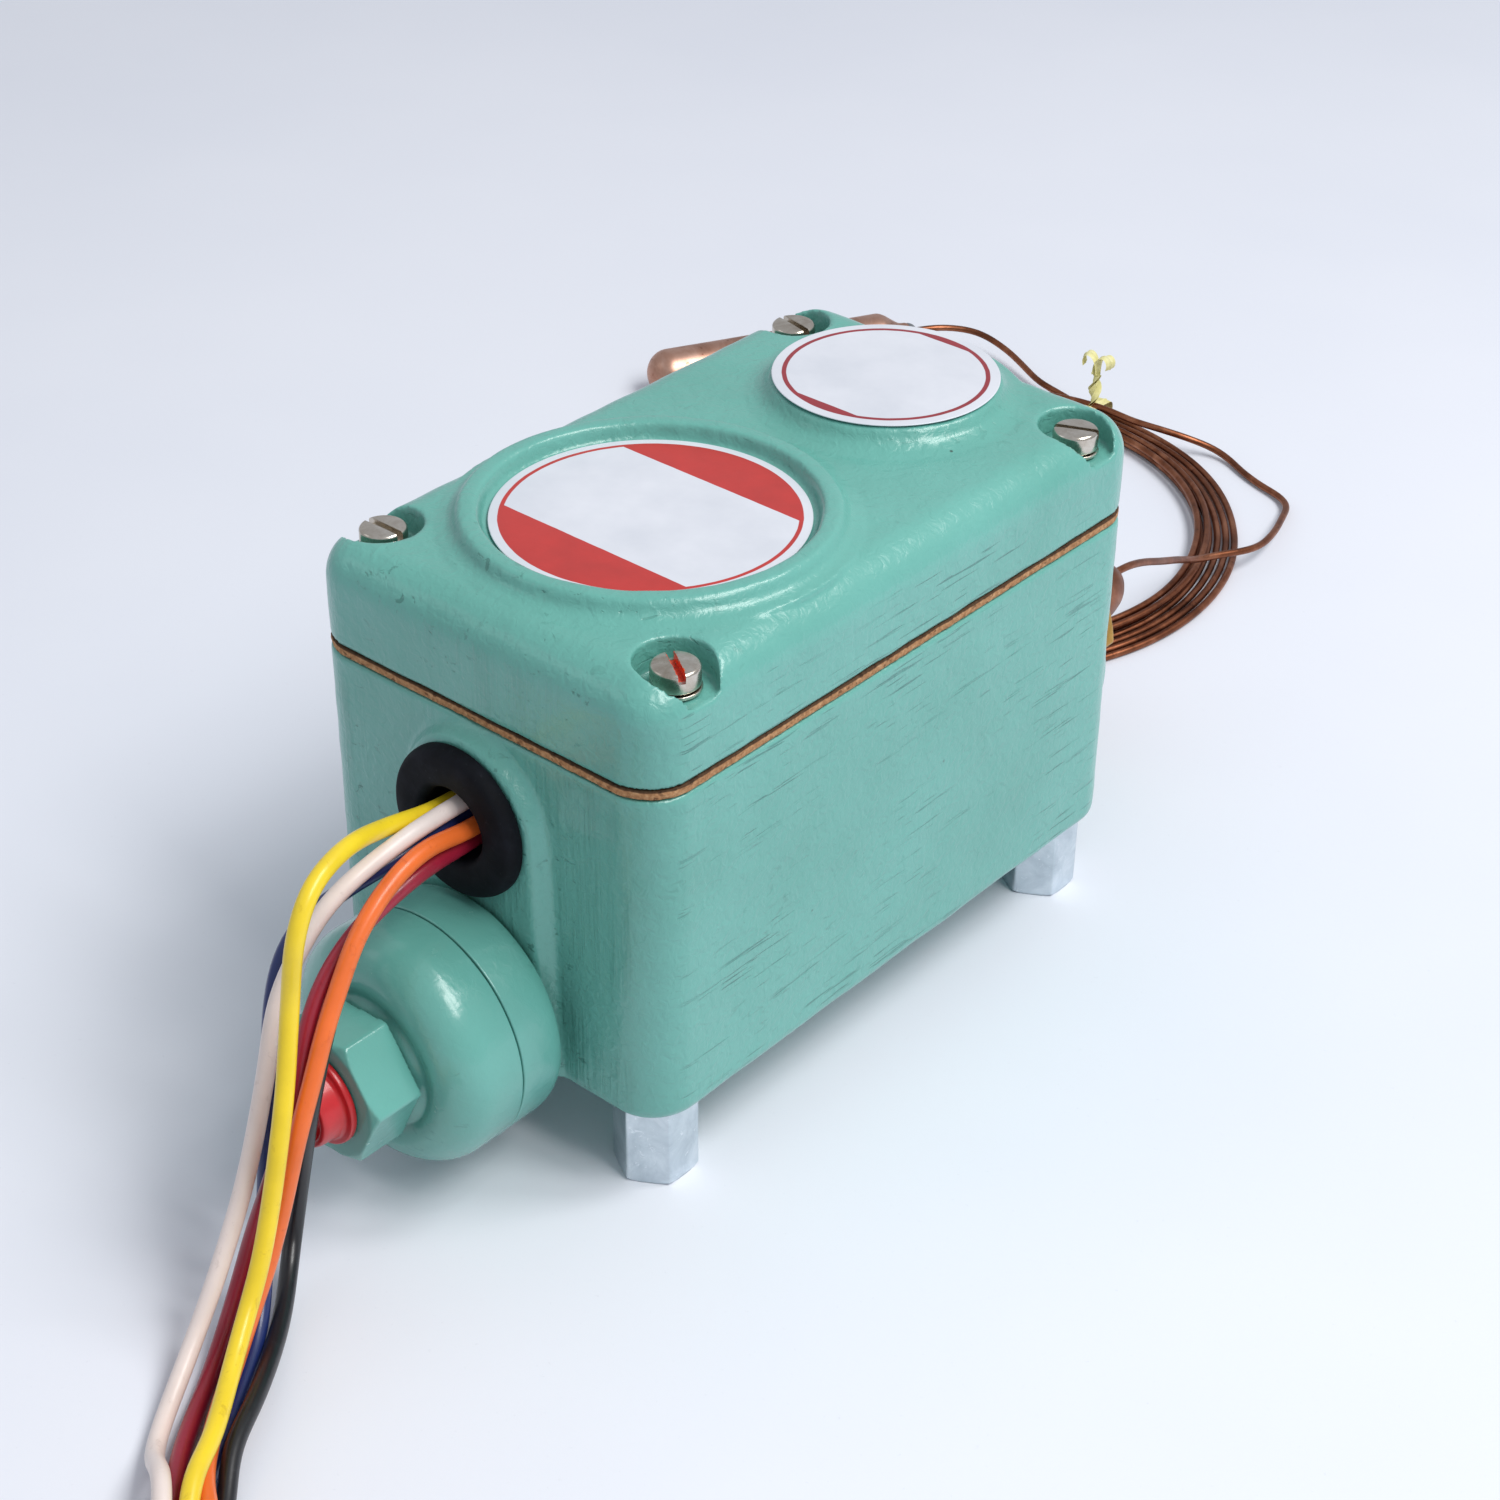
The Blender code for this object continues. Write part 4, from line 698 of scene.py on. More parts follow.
def evenly(line, spacing):
    run = np.concatenate([[0], np.cumsum(np.linalg.norm(np.diff(line, axis=0), axis=1))])
    count = max(2, round(run[-1] / spacing))
    at = np.linspace(0, run[-1], count + 1)
    return np.stack([np.interp(at, run, line[:, k]) for k in range(3)], 1)


def ease(line, width, spacing):
    """A Gaussian running mean along the line, ends kept, so that bends join without a kink."""
    half = int(3 * width / spacing)
    kernel = np.exp(-0.5 * (np.arange(-half, half + 1) * spacing / width) ** 2)
    kernel /= kernel.sum()
    padded = np.concatenate([2 * line[0] - line[half:0:-1], line, 2 * line[-1] - line[-2 : -half - 2 : -1]])
    out = np.stack([np.convolve(padded[:, k], kernel, "valid") for k in range(3)], 1)
    out[0], out[-1] = line[0], line[-1]
    return out


def line_length(line):
    return float(np.linalg.norm(np.diff(line, axis=0), axis=1).sum())


def wire(name, line, diameter, mat, resolution=6, body="root"):
    """A round wire along a line in local millimetres, as a curve of one open spline."""
    data = bpy.data.curves.new(name, "CURVE")
    data.dimensions = "3D"
    data.bevel_depth = diameter * 0.5 * MM
    data.bevel_resolution = resolution
    data.use_fill_caps = True
    run = data.splines.new("POLY")
    run.points.add(len(line) - 1)
    co = np.ones((len(line), 4))
    co[:, :3] = (np.asarray(line) + np.array(SHIFT)) * MM
    run.points.foreach_set("co", co.ravel())
    run.use_smooth = True
    data.materials.append(mat)
    obj = bpy.data.objects.new(name, data)
    COLLECTION.objects.link(obj)
    if body:
        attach(obj, body)
    return obj


def coil_entry(column, block):
    r, z = COIL_COLUMNS[column], COIL_ROWS[block]
    ahead = np.array([math.sin(math.radians(COIL_HEADING)), -math.cos(math.radians(COIL_HEADING)), 0.0])
    aside = np.array([-ahead[1], ahead[0], 0.0])
    back = math.sqrt(COIL_RO**2 - (r - LEAD_D / 2) ** 2) + 0.5
    on_line = np.array([COIL_X, COIL_Y, 0.0]) - aside * r
    start, end = on_line - ahead * (back + 8.0), on_line - ahead * back
    return [(start[0], start[1], z if block == 0 else z - 1.2), (end[0], end[1], z)]


LEAD_LENGTH = 330.0


def lead_line(colour):
    hx, hz = HOLE[colour]
    bx, bz = BLADE[colour]
    hz += GROMMET_Z
    start = [
        (bx, -45.3, bz),
        (bx * 0.97 + hx * 0.03, -47.5, bz * 0.97 + hz * 0.03),
        (hx * 0.93 + bx * 0.07, -56.0, hz * 0.85 + bz * 0.15),
        (hx, -61.5, hz),
        (hx, -70.0, hz),
    ]
    column, block = COIL_PLACE[colour]
    free = spline(start + LEADS[colour] + coil_entry(column, block), 1.5)
    left = LEAD_LENGTH - line_length(free)
    r, z0 = COIL_COLUMNS[column], COIL_ROWS[block]
    # the turns start where the straight run meets their circle, square to the entry heading
    first = math.atan2(-math.cos(math.radians(COIL_HEADING)), math.sin(math.radians(COIL_HEADING))) - math.pi / 2
    straight = np.linalg.norm(free[-1][:2] - np.array([COIL_X + r * math.cos(first), COIL_Y + r * math.sin(first)]))
    turns = (left - straight) / (2 * math.pi * r)
    turns = min(turns, 1.80)
    count = int(turns * 72)
    wound = []
    for i in range(count + 1):
        q = turns * i / count
        rise = 0.0 if q < 0.80 else (1.0 if q > 0.99 else 0.5 - 0.5 * math.cos(math.pi * (q - 0.80) / 0.19))
        a = first + 2 * math.pi * q
        wound.append((COIL_X + r * math.cos(a), COIL_Y + r * math.sin(a), z0 + 3.1 * rise))
    line = evenly(np.vstack([free, np.array(wound)]), 1.5)
    return ease(line, 2.6, 1.5)


for colour in LEADS:
    line = lead_line(colour)
    piece = wire(f"lead_{colour}_wire", line, LEAD_D, SHEATHS[colour], 7)
    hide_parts(f"lead_{colour}")
    # the bare end: seven tinned strands laid round each other, just out of the sheath
    tip, back = np.array(line[-1]), np.array(line[-3])
    run = (tip - back) / np.linalg.norm(tip - back)
    side = np.cross(run, (0, 0, 1.0))
    bm = bmesh.new()
    for s in range(7):
        rows = []
        for k in range(9):
            along = tip + run * (k * 0.75 - 0.6)
            a = 2 * math.pi * s / 6 + k * 0.35
            off = 0.0 if s == 6 else 0.42
            centre = along + side * off * math.cos(a) + np.array([0, 0, off * math.sin(a)])
            rows.append(ring_of(bm, [tuple(centre + side * x + np.array([0, 0, y])) for x, y in circle(0.21, 8)]))
        skin(bm, rows)
    end = add(f"lead_{colour}_strands", bm, STEEL)
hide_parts("lead_coil")

CAPILLARY = [
    (0.0, 118.3, 28.2), (0.0, 123.0, 27.8), (-1.0, 130.5, 25.2), (-2.6, 140.5, 20.6), (-6.2, 153.2, 14.2), (-9.2, 162.8, 9.0),
    (-9.8, 168.6, 6.5), (-8.2, 174.2, 5.8), (-5.8, 178.9, 5.5), (-4.8, 185.5, 4.5), (-6.4, 194.3, 3.5), (-10.3, 205.2, 2.2),
    (-13.0, 211.4, 1.5), (-17.2, 214.6, 1.2), (-22.6, 216.2, 1.1), (-30.0, 219.2, 1.1), (-36.6, 222.7, 1.3), (-41.2, 223.2, 2.2),
    (-45.2, 221.2, 3.6), (-49.4, 218.9, 4.9), (-54.4, 217.0, 5.7), (-60.0, 216.2, 5.8),
]
BULB_R, BULB_LEN = 6.35, 72.0
BULB_DIR = np.array([0.451, 0.892, 0.0])
BULB_DIR /= np.linalg.norm(BULB_DIR)
BULB_A = np.array([-164.0, 155.0, BULB_R])
BULB_B = BULB_A + BULB_DIR * BULB_LEN
TAIL = [tuple(BULB_B + BULB_DIR * 0.4), tuple(BULB_B + BULB_DIR * 4.0), (-126.6, 227.2, 6.2), (-119.5, 231.6, 5.6), (-110.0, 231.0, 4.2), (-101.0, 227.4, 3.2), (-94.0, 224.3, 2.4), (-88.0, 223.9, 1.6)]


def capillary_line():
    lead = spline(CAPILLARY, 1.6)
    tail = spline(TAIL, 1.6)[::-1]
    start, inward, outward = math.radians(78.6), 2.0, 5.045
    total = inward + outward
    wound = []
    count = int(total * 150)
    for i in range(3, count + 1):
        q = total * i / count
        a = start + 2 * math.pi * q
        if q < inward:
            r = 66.0 - 2.15 * q
            z = 3.15
        else:
            r = 61.7 - 0.75 * min(1.0, (q - inward) / 0.12) + 2.02 * (q - inward)
            z = 3.15 - 2.25 * min(1.0, (q - inward) / 0.12)
        if q < 0.14:
            z = 5.8 - 2.65 * (0.5 - 0.5 * math.cos(math.pi * q / 0.14))
        fade = min(1.0, q / 0.08) * min(1.0, (total - q) / 0.08)
        common = 0.35 * math.sin(2 * a + 0.6) + 0.22 * math.sin(5 * a + 1.9)
        own = 0.13 * math.sin(3.3 * a + 4.0 * q) + 0.08 * math.sin(9.1 * a)
        r += fade * (common + own)
        z += fade * 0.10 * math.sin(4.7 * a + 1.0)
        wound.append((RING_X + r * math.cos(a), RING_Y + r * math.sin(a), max(z, 0.82)))
    return ease(evenly(np.vstack([lead, np.array(wound), tail]), 1.6), 2.2, 1.6)


cap_line = capillary_line()
cap_line[:, 2] = np.maximum(cap_line[:, 2], 0.82)
capillary = wire("capillary_tube", cap_line, CAP_D, COPPER, 4)
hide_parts("capillary_lead", "capillary_coil", "capillary_tail")

# =============================================================================
# sensing bulb and ties on the capillary


def make_bulb():
    r, n = BULB_R - 0.2, BULB_LEN
    profile = [(0.0, 0.0)] + [(r * math.sin(math.radians(a)), r * 0.92 * (1 - math.cos(math.radians(a)))) for a in range(6, 91, 6)]
    profile += [(r, n * k / 8) for k in range(2, 7)]
    profile += soften([(r, n - 10.0), (r, n - 8.6), (r * 0.90, n - 7.2), (r * 0.60, n - 4.6), (r * 0.44, n - 3.0), (r * 0.42, n - 1.2), (r * 0.36, n - 0.5), (r * 0.2, n - 0.1)], 1.6, 5)
    profile += [(0.0, n)]
    bm = lathe(profile, 72)
    turn = Matrix.Translation((0, 0, -0.18)) @ Vector(BULB_DIR).to_track_quat("Z", "Y").to_matrix().to_4x4()
    for v in bm.verts:  # hand-worked tube: barely out of round
        v.co.x += 0.015 * math.sin(v.co.z * 0.21) * (abs(v.co.x) > 0.5)
        v.co.y += 0.015 * math.sin(v.co.z * 0.17 + 1.0) * (abs(v.co.y) > 0.5)
    bm.transform(Matrix.Translation(BULB_A) @ turn)
    bulb = add("bulb_body", bm, BRIGHT_COPPER)
    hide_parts("sensing_bulb")
    solder = lathe(soften([(0.85, n - 1.0), (2.6, n - 0.9), (2.1, n + 0.6), (1.1, n + 1.5), (0.82, n + 1.7)], 0.6, 4, True), 36)
    solder.transform(Matrix.Translation(BULB_A) @ turn)
    joint = add("bulb_solder", solder, STEEL)
    return bulb, joint


def ribbon(path, across, width, thick, name, mat, body="root"):
    """A flat strip with a wire core: path points, and at each the direction across the strip."""
    bm = bmesh.new()
    rows = []
    n = len(path)
    for i, (p, side) in enumerate(zip(path, across)):
        p, side = Vector(p), Vector(side).normalized()
        run = (Vector(path[min(i + 1, n - 1)]) - Vector(path[max(i - 1, 0)])).normalized()
        up = run.cross(side).normalized()
        w = width * 0.5
        section = [(-w, 0.0), (-w * 0.45, thick * 0.5), (-0.32, thick * 0.6), (0.0, 0.34), (0.32, thick * 0.6), (w * 0.45, thick * 0.5), (w, 0.0), (w * 0.45, -thick * 0.5), (0.32, -thick * 0.6), (0.0, -0.34), (-0.32, -thick * 0.6), (-w * 0.45, -thick * 0.5)]
        rows.append(ring_of(bm, [tuple(p + side * a + up * b) for a, b in section]))
    skin(bm, rows)
    return add(name, bm, mat, body)


def make_coil_tie():
    """Bent over the coil, the two ends twisted together and standing up as a small bow."""
    x0, y0 = RING_X, RING_Y + 66.0
    y_in, y_out = RING_Y + RING_RI - 0.9, RING_Y + RING_RO + 0.9
    loop = soften([(y0 - 0.6, 5.3), (y_in, 5.0), (y_in, 0.35), (y_out, 0.35), (y_out, 5.0), (y0 + 0.6, 5.3)], 1.6, 6)
    path = [(x0, y, z) for y, z in loop]
    band = ribbon(path, [(1, 0, 0)] * len(path), 3.6, 0.16, "coil_tie_band", PAPER)
    pieces = [band]
    for k, sign in enumerate((-1, 1)):
        path, across = [], []
        for i in range(60):
            t = i / 59
            if t < 0.45:
                q = t / 0.45
                a = math.pi * (1.6 * q) + (0 if sign > 0 else math.pi)
                off = 0.42
                path.append((x0 + off * math.cos(a) - 0.9 * q, y0 + off * math.sin(a) + 1.9 * q, 5.1 + 8.0 * q))
                across.append((math.cos(a + 1.2), math.sin(a + 1.2), 0.0))
            else:
                q = (t - 0.45) / 0.55
                a = math.pi * 1.6 + (0 if sign > 0 else math.pi)
                curl = math.radians(-30 + 250 * q)
                px = x0 - 0.9 + sign * (2.3 - 2.3 * math.cos(curl)) * 0.85 + 0.42 * math.cos(a) - sign * 0.3
                pz = 13.1 + 2.3 * math.sin(curl) * 1.15 + 2.4 * q + 1.2
                path.append((px, y0 + 1.9 + 0.5 * sign * q, pz))
                across.append((0.25 * sign, 1.0, 0.1))
        line = ease(np.array(path), 1.4, 0.5)
        pieces.append(ribbon([tuple(p) for p in line], across, 3.0, 0.16, f"coil_tie_end_{k}", PAPER))
    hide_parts("coil_tie")
    return pieces


def make_lead_tie():
    x_in, x_out = COIL_X + COIL_RO - 10.0, COIL_X + COIL_RO + 0.7
    loop = soften([(16.5, 13.1), (11.2, 12.9), (11.0, 0.3), (22.0, 0.3), (22.1, 12.9), (17.1, 13.15)], 1.8, 6)
    path = [(COIL_X + x, COIL_Y, z) for x, z in loop]
    band = ribbon(path, [(0, 1, 0)] * len(path), 3.6, 0.16, "lead_tie_band", PAPER)
    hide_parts("lead_tie")
    for k, sign in enumerate((-1, 1)):
        path, across = [], []
        for i in range(30):
            q = i / 29
            a = 1.4 * math.pi * q + (0 if sign > 0 else math.pi)
            path.append((COIL_X + 16.8 + 0.42 * math.cos(a) + 3.5 * q, COIL_Y + 0.42 * math.sin(a) + sign * 2.4 * max(0.0, q - 0.55), 13.3 + 0.9 * math.sin(q * 2.2)))
            across.append((0.0, math.cos(a), math.sin(a)))
        piece = ribbon(path, across, 2.6, 0.16, f"lead_tie_end_{k}", PAPER)


SCREW_X, SCREW_Y = 31.75, 51.5
bulb, solder = make_bulb()
tie_pieces = make_coil_tie()
make_lead_tie()

# =============================================================================
# housing

WIDTH, LENGTH, CORNER_R, WALL = 76.2, 127.0, 8.5, 4.0
BASE_Z0, BASE_Z1, FLOOR_T = 15.9, 79.0, 5.0
COVER_Z0, COVER_Z1, COVER_EDGE_R, COVER_CAVITY_Z = 81.2, 98.6, 7.0, 94.4
POCKET_R, POCKET_Z, CLEAR_R = 6.6, 93.1, 2.7
UNIT_Z = 27.3
DIAL_Y, BOSS_Y = -22.2, 38.6
STANDOFF_X, STANDOFF_Y, STANDOFF_H = 28.9, 54.0, 15.6
CORNERS = (("front_left", -1, -1), ("front_right", 1, -1), ("rear_left", -1, 1), ("rear_right", 1, 1))


def shell(levels, half_x, half_y, radius):
    """Stacked rounded rectangles: each level is (inset, height)."""
    bm = bmesh.new()
    skin(bm, [ring_of(bm, [(x, y, z) for x, y in rounded_rect(half_x - i, half_y - i, radius - i)]) for i, z in levels])
    return bm


def make_base():
    r = 2.0
    levels = [(r * (1 - math.sin(math.radians(a))), BASE_Z0 + 2.3 * (1 - math.cos(math.radians(a)))) for a in range(0, 91, 15)]
    base = add("base_casting", shell(levels + [(0.0, BASE_Z1 - 0.35), (0.35, BASE_Z1)], WIDTH / 2, LENGTH / 2, CORNER_R), PAINTED, angle=180)
    cuts = []
    for y_wall, y_face, cz, r_wall, r_face, foot_wall, foot_face in ((-63.5, -66.5, 62.6, 16.0, 14.4, 18.0, 15.5), (63.5, 66.5, 34.0, 17.5, 16.0, 17.5, 16.0)):
        sign = 1 if y_face > y_wall else -1
        rows = []
        bm = bmesh.new()
        for y, rr, foot, dz in (
            (y_wall - sign * 1.5, r_wall, foot_wall, 0.0),
            (y_wall, r_wall, foot_wall, 0.0),
            (y_wall + sign * 0.5, r_wall - 0.55, foot_wall - 0.75, 0.1),
            (y_face - sign * 1.1, r_face + 0.35, foot_face + 0.35, 0.3),
            (y_face - sign * 0.5, r_face + 0.1, foot_face + 0.1, 0.45),
            (y_face - sign * 0.15, r_face - 0.35, foot_face - 0.35, 0.7),
            (y_face, r_face - 0.8, foot_face - 0.8, 1.0),
        ):
            outline = [(foot, 17.2 + dz)] + arc(0.0, cz, rr, 0.0, 180.0, 48) + [(-foot, 17.2 + dz)]
            rows.append(ring_of(bm, [(x, y, z) for x, z in outline]))
        skin(bm, rows)
        cuts.append(("UNION", helper(bm)))
    cuts.append(("DIFFERENCE", helper(prism(inner_outline(6.5, WIDTH / 2 - WALL, LENGTH / 2 - WALL), BASE_Z0 + FLOOR_T, BASE_Z1 + 3))))
    for _, sx, sy in CORNERS:
        cuts.append(("DIFFERENCE", rod(CLEAR_R, 60.0, 84.0, centre=(sx * SCREW_X, sy * SCREW_Y, 0), steps=32)))
        cuts.append(("DIFFERENCE", rod(2.7, 12.0, 25.0, centre=(sx * STANDOFF_X, sy * STANDOFF_Y, 0), steps=32)))
    cuts.append(("DIFFERENCE", rod(11.1, 55.0, 72.0, "-Y", (0, 0, GROMMET_Z))))
    cuts.append(("DIFFERENCE", rod(10.2, 55.0, 72.0, "-Y", (0, 0, UNIT_Z))))
    cuts.append(("DIFFERENCE", rod(10.2, 55.0, 72.0, "+Y", (0, 0, UNIT_Z))))
    for x, y in ((-24.5, -30.0), (24.5, 30.0)):
        cuts.append(("DIFFERENCE", rod(1.8, 17.6, 24.0, centre=(x, y, 0), steps=32)))
    carve(base, *cuts)
    cast(base, 0.5, 4)
    co = points_of(base)
    co[:, 2] = np.where(np.abs(co[:, 2] - BASE_Z1 * MM) < 0.35 * MM, np.maximum(co[:, 2], (BASE_Z1 - 0.12) * MM), co[:, 2])
    put_points(base, co)
    uneven(base, 0.07, 7, 22, 16, 5, BASE_Z0, BASE_Z1)
    thin(base, 0.42)
    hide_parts("base_housing")
    return base


def make_cover():
    levels = [(0.25, COVER_Z0), (0.0, COVER_Z0 + 0.25), (0.0, 85.0), (0.0, 88.0)]
    for i in range(13):
        a = math.radians(90.0 * i / 12)
        levels.append((COVER_EDGE_R * (1 - math.cos(a)), COVER_Z1 - COVER_EDGE_R * (1 - math.sin(a))))
    cover = add("cover_casting", shell(levels, WIDTH / 2, LENGTH / 2, CORNER_R), PAINTED, angle=180)
    dial = [(0, 95.6, 0), (32.0, 95.6, 0), (34.6, 97.6, 0), (34.9, 98.75, 0.8), (33.3, 99.0, 1.4), (32.0, 99.7, 0.7), (31.5, 101.0, 0.6), (30.8, 101.8, 0.7), (28.1, 101.8, 0.7), (27.3, 98.9, 0.5), (0, 98.9, 0)]
    boss = [(0, 95.4, 0), (23.4, 95.4, 0), (24.9, 97.6, 0), (24.8, 98.7, 0.8), (23.2, 98.95, 1.2), (21.3, 100.0, 1.2), (20.6, 101.2, 0.6), (20.1, 102.0, 0.5), (0, 102.0, 0)]
    cuts = [
        ("UNION", helper(lathe(soften(dial, 0.5), 144, centre=(0, DIAL_Y, 0)))),
        ("UNION", helper(lathe(soften(boss, 0.5), 120, centre=(0, BOSS_Y, 0)))),
        ("DIFFERENCE", helper(prism(inner_outline(8.6, WIDTH / 2 - WALL, LENGTH / 2 - WALL), COVER_Z0 - 3, COVER_CAVITY_Z))),
    ]
    for _, sx, sy in CORNERS:
        cuts.append(("DIFFERENCE", rod(POCKET_R, POCKET_Z, 110.0, centre=(sx * SCREW_X, sy * SCREW_Y, 0))))
        cuts.append(("DIFFERENCE", rod(CLEAR_R, 78.0, 96.0, centre=(sx * SCREW_X, sy * SCREW_Y, 0), steps=32)))
    carve(cover, *cuts)
    cast(cover, 0.42, 5)
    co = points_of(cover)
    low = np.abs(co[:, 2] - COVER_Z0 * MM) < 0.30 * MM
    co[low, 2] = np.minimum(co[low, 2], (COVER_Z0 + 0.12) * MM)
    put_points(cover, co)
    uneven(cover, 0.06, 6, 20, 16, 11, COVER_Z0, None)
    thin(cover, 0.45)
    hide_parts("cover")
    return cover


def make_gasket():
    """Cork sheet with a slightly ragged cut edge."""
    outer = evenly(np.array([(x, y, 0) for x, y in rounded_rect(WIDTH / 2 - 0.15, LENGTH / 2 - 0.15, CORNER_R - 0.15)] + [(WIDTH / 2 - 0.15, LENGTH / 2 - CORNER_R, 0)]), 0.5)[:-1, :2]
    inner = np.array(inner_outline(6.9, WIDTH / 2 - WALL - 0.4, LENGTH / 2 - WALL - 0.4))
    pick = np.random.default_rng(21)
    n = len(outer)
    rough = pick.normal(size=n)
    rough = np.convolve(np.concatenate([rough[-6:], rough, rough[:6]]), np.ones(3) / 3, "same")[6:-6]
    slow = pick.normal(size=n)
    slow = np.convolve(np.concatenate([slow[-30:], slow, slow[:30]]), np.ones(25) / 25, "same")[30:-30]
    middle = np.array([0.0, 0.0])
    rows = []
    bm = bmesh.new()
    for z, bulge in ((79.32, -0.10), (79.45, 0.02), (79.8, 0.06), (80.2, 0.10), (80.6, 0.05), (80.78, 0.0), (80.88, -0.10)):
        jitter = np.clip(rough * 0.05 + pick.normal(size=n) * 0.035 + slow * 0.25, -0.22, 0.13)
        push = (bulge + jitter)[:, None] * (outer - middle) / np.linalg.norm(outer - middle, axis=1)[:, None]
        pts = outer + push
        rows.append(ring_of(bm, [(float(x), float(y), z) for x, y in pts]))
    skin(bm, rows)
    gasket = add("gasket_sheet", bm, CORK, angle=60)
    cuts = [("DIFFERENCE", helper(prism([tuple(p) for p in inner], 77, 83)))]
    for _, sx, sy in CORNERS:
        cuts.append(("DIFFERENCE", rod(CLEAR_R, 70.0, 90.0, centre=(sx * SCREW_X, sy * SCREW_Y, 0), steps=32)))
    carve(gasket, *cuts, angle=60)
    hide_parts("cover_gasket")
    return gasket


make_base()
make_cover()
make_gasket()

# =============================================================================
# screws, washers, plates

HEAD_R, HEAD_H, SHANK_R, SLOT_W, SLOT_D = 3.97, 3.4, 2.3, 1.2, 1.5
HEAD_Z0 = POCKET_Z + 1.3
SLOT_TURN = {"front_left": 1.0, "front_right": -33.0, "rear_left": -13.0, "rear_right": 24.0}


def make_screw(corner, x, y):
    z1 = HEAD_Z0 + HEAD_H
    mat = NICKEL
    if corner == "front_right":
        mat = slot_paint("nickel_marked", NICKEL_TONES, (x, y, z1), SLOT_TURN[corner])
    profile = [(0, 63.0, 0), (1.5, 63.0, 0.3), (2.2, 63.9, 0.2)]
    z = 64.2
    while z < 86.0:  # thread: crest and root, one turned ring each
        profile += [(2.28, z, 0.06), (2.28, z + 0.2, 0.06), (1.95, z + 0.55, 0.06), (1.95, z + 0.65, 0.06)]
        z += 1.0
    profile += [(SHANK_R, 87.0, 0.1), (SHANK_R, HEAD_Z0, 0.15), (HEAD_R, HEAD_Z0, 0.22), (HEAD_R, z1 - 0.42, 0.3), (HEAD_R - 0.35, z1 - 0.02, 0.3), (2.2, z1 + 0.07, 0.4), (0, z1 + 0.09, 0)]
    screw = add(f"screw_{corner}", lathe(soften(profile, 0.2, 4), 64, centre=(x, y, 0)), mat)
    lip = 0.10
    w = SLOT_W / 2
    outline = [(-w, z1 - SLOT_D), (w, z1 - SLOT_D), (w, z1 - 0.12), (w + lip, z1 + 0.14), (w + 0.6, z1 + 2), (-w - 0.6, z1 + 2), (-w - lip, z1 + 0.14), (-w, z1 - 0.12)]
    bm = bmesh.new()
    skin(bm, [ring_of(bm, [(s, a, b) for a, b in outline]) for s in (-6.0, 6.0)])
    bm.transform(Matrix.Translation((x, y, 0)) @ Matrix.Rotation(math.radians(SLOT_TURN[corner]), 4, "Z"))
    carve(screw, ("DIFFERENCE", helper(bm)), angle=40)
    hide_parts(f"cover_screw_{corner}")


def make_washer(corner, x, y, gap_deg):
    """Split spring washer: a slightly sprung ring with its two cut ends a little apart."""
    bm = bmesh.new()
    rows = []
    section = soften([(2.72, -0.30), (4.18, -0.30), (4.18, 0.30), (2.72, 0.30)], 0.12, 3, True)
    for i in range(73):
        t = i / 72
        a = math.radians(gap_deg + 7 + 346 * t)
        z = 93.76 + 0.07 * (2 * t - 1)
        rows.append(ring_of(bm, [(x + r * math.cos(a), y + r * math.sin(a), z + h) for r, h in section]))
    skin(bm, rows)
    washer = add(f"washer_{corner}", bm, NICKEL)
    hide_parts(f"lock_washer_{corner}")


for number, (corner, sx, sy) in enumerate(CORNERS):
    make_screw(corner, sx * SCREW_X, sy * SCREW_Y)
    make_washer(corner, sx * SCREW_X, sy * SCREW_Y, (200, 95, 150, 20)[number])


def make_plate(name, node, radius, z0, centre_y, mat):
    """Thin stamped disc: rolled edge and a faint crown."""
    profile = [(0, z0 + 0.02, 0), (radius - 0.15, z0, 0.05), (radius, z0 + 0.07, 0.05), (radius, z0 + 0.2, 0.08), (radius - 0.12, z0 + 0.27, 0.08)]
    profile += [(radius * k / 8, z0 + 0.30 - 0.03 * (k / 8) ** 2, 0) for k in range(7, 0, -1)] + [(0, z0 + 0.30, 0)]
    plate = add(name, lathe(soften(profile, 0.05, 4), 160, centre=(0, centre_y, 0)), mat, angle=50)
    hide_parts(node)


make_plate("plate_large", "nameplate_large", 26.3, 99.2, DIAL_Y, label("plate_large_print", (0, DIAL_Y, 99.5), 24.75, 0.72, 14.3, 13.6, srgb(176, 38, 32)))
make_plate("plate_small", "nameplate_small", 20.0, 102.3, BOSS_Y, label("plate_small_print", (0, BOSS_Y, 102.6), 18.2, 0.82, 16.5, 16.1, srgb(136, 24, 36)))

# =============================================================================
# grommet, standoffs, bellows units, port fittings


def turned(name, profile, steps, mat, axis, centre, node, body="root", radius=0.3, angle=40.0, corner_steps=6):
    obj = add(name, lathe(soften(profile, radius, corner_steps, profile[0][0] > 1e-6), steps, axis, centre), mat, body, angle)
    if node:
        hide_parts(node)
    return obj


turned(
    "grommet",
    [(6.5, 61.0, 1.0), (9.0, 56.6, 0.4), (11.9, 56.6, 0.5), (12.35, 57.4, 0.6), (12.3, 59.1, 0.5), (10.7, 59.4, 0.4), (10.7, 66.9, 0.3), (13.4, 66.9, 0.3), (13.35, 68.3, 1.2), (12.6, 69.7, 1.5), (10.4, 70.2, 2.0), (7.4, 70.0, 1.2), (6.5, 69.0, 1.0)],
    112,
    RUBBER,
    "-Y",
    (0, 0, GROMMET_Z),
    "wire_grommet",
    radius=0.5,
)


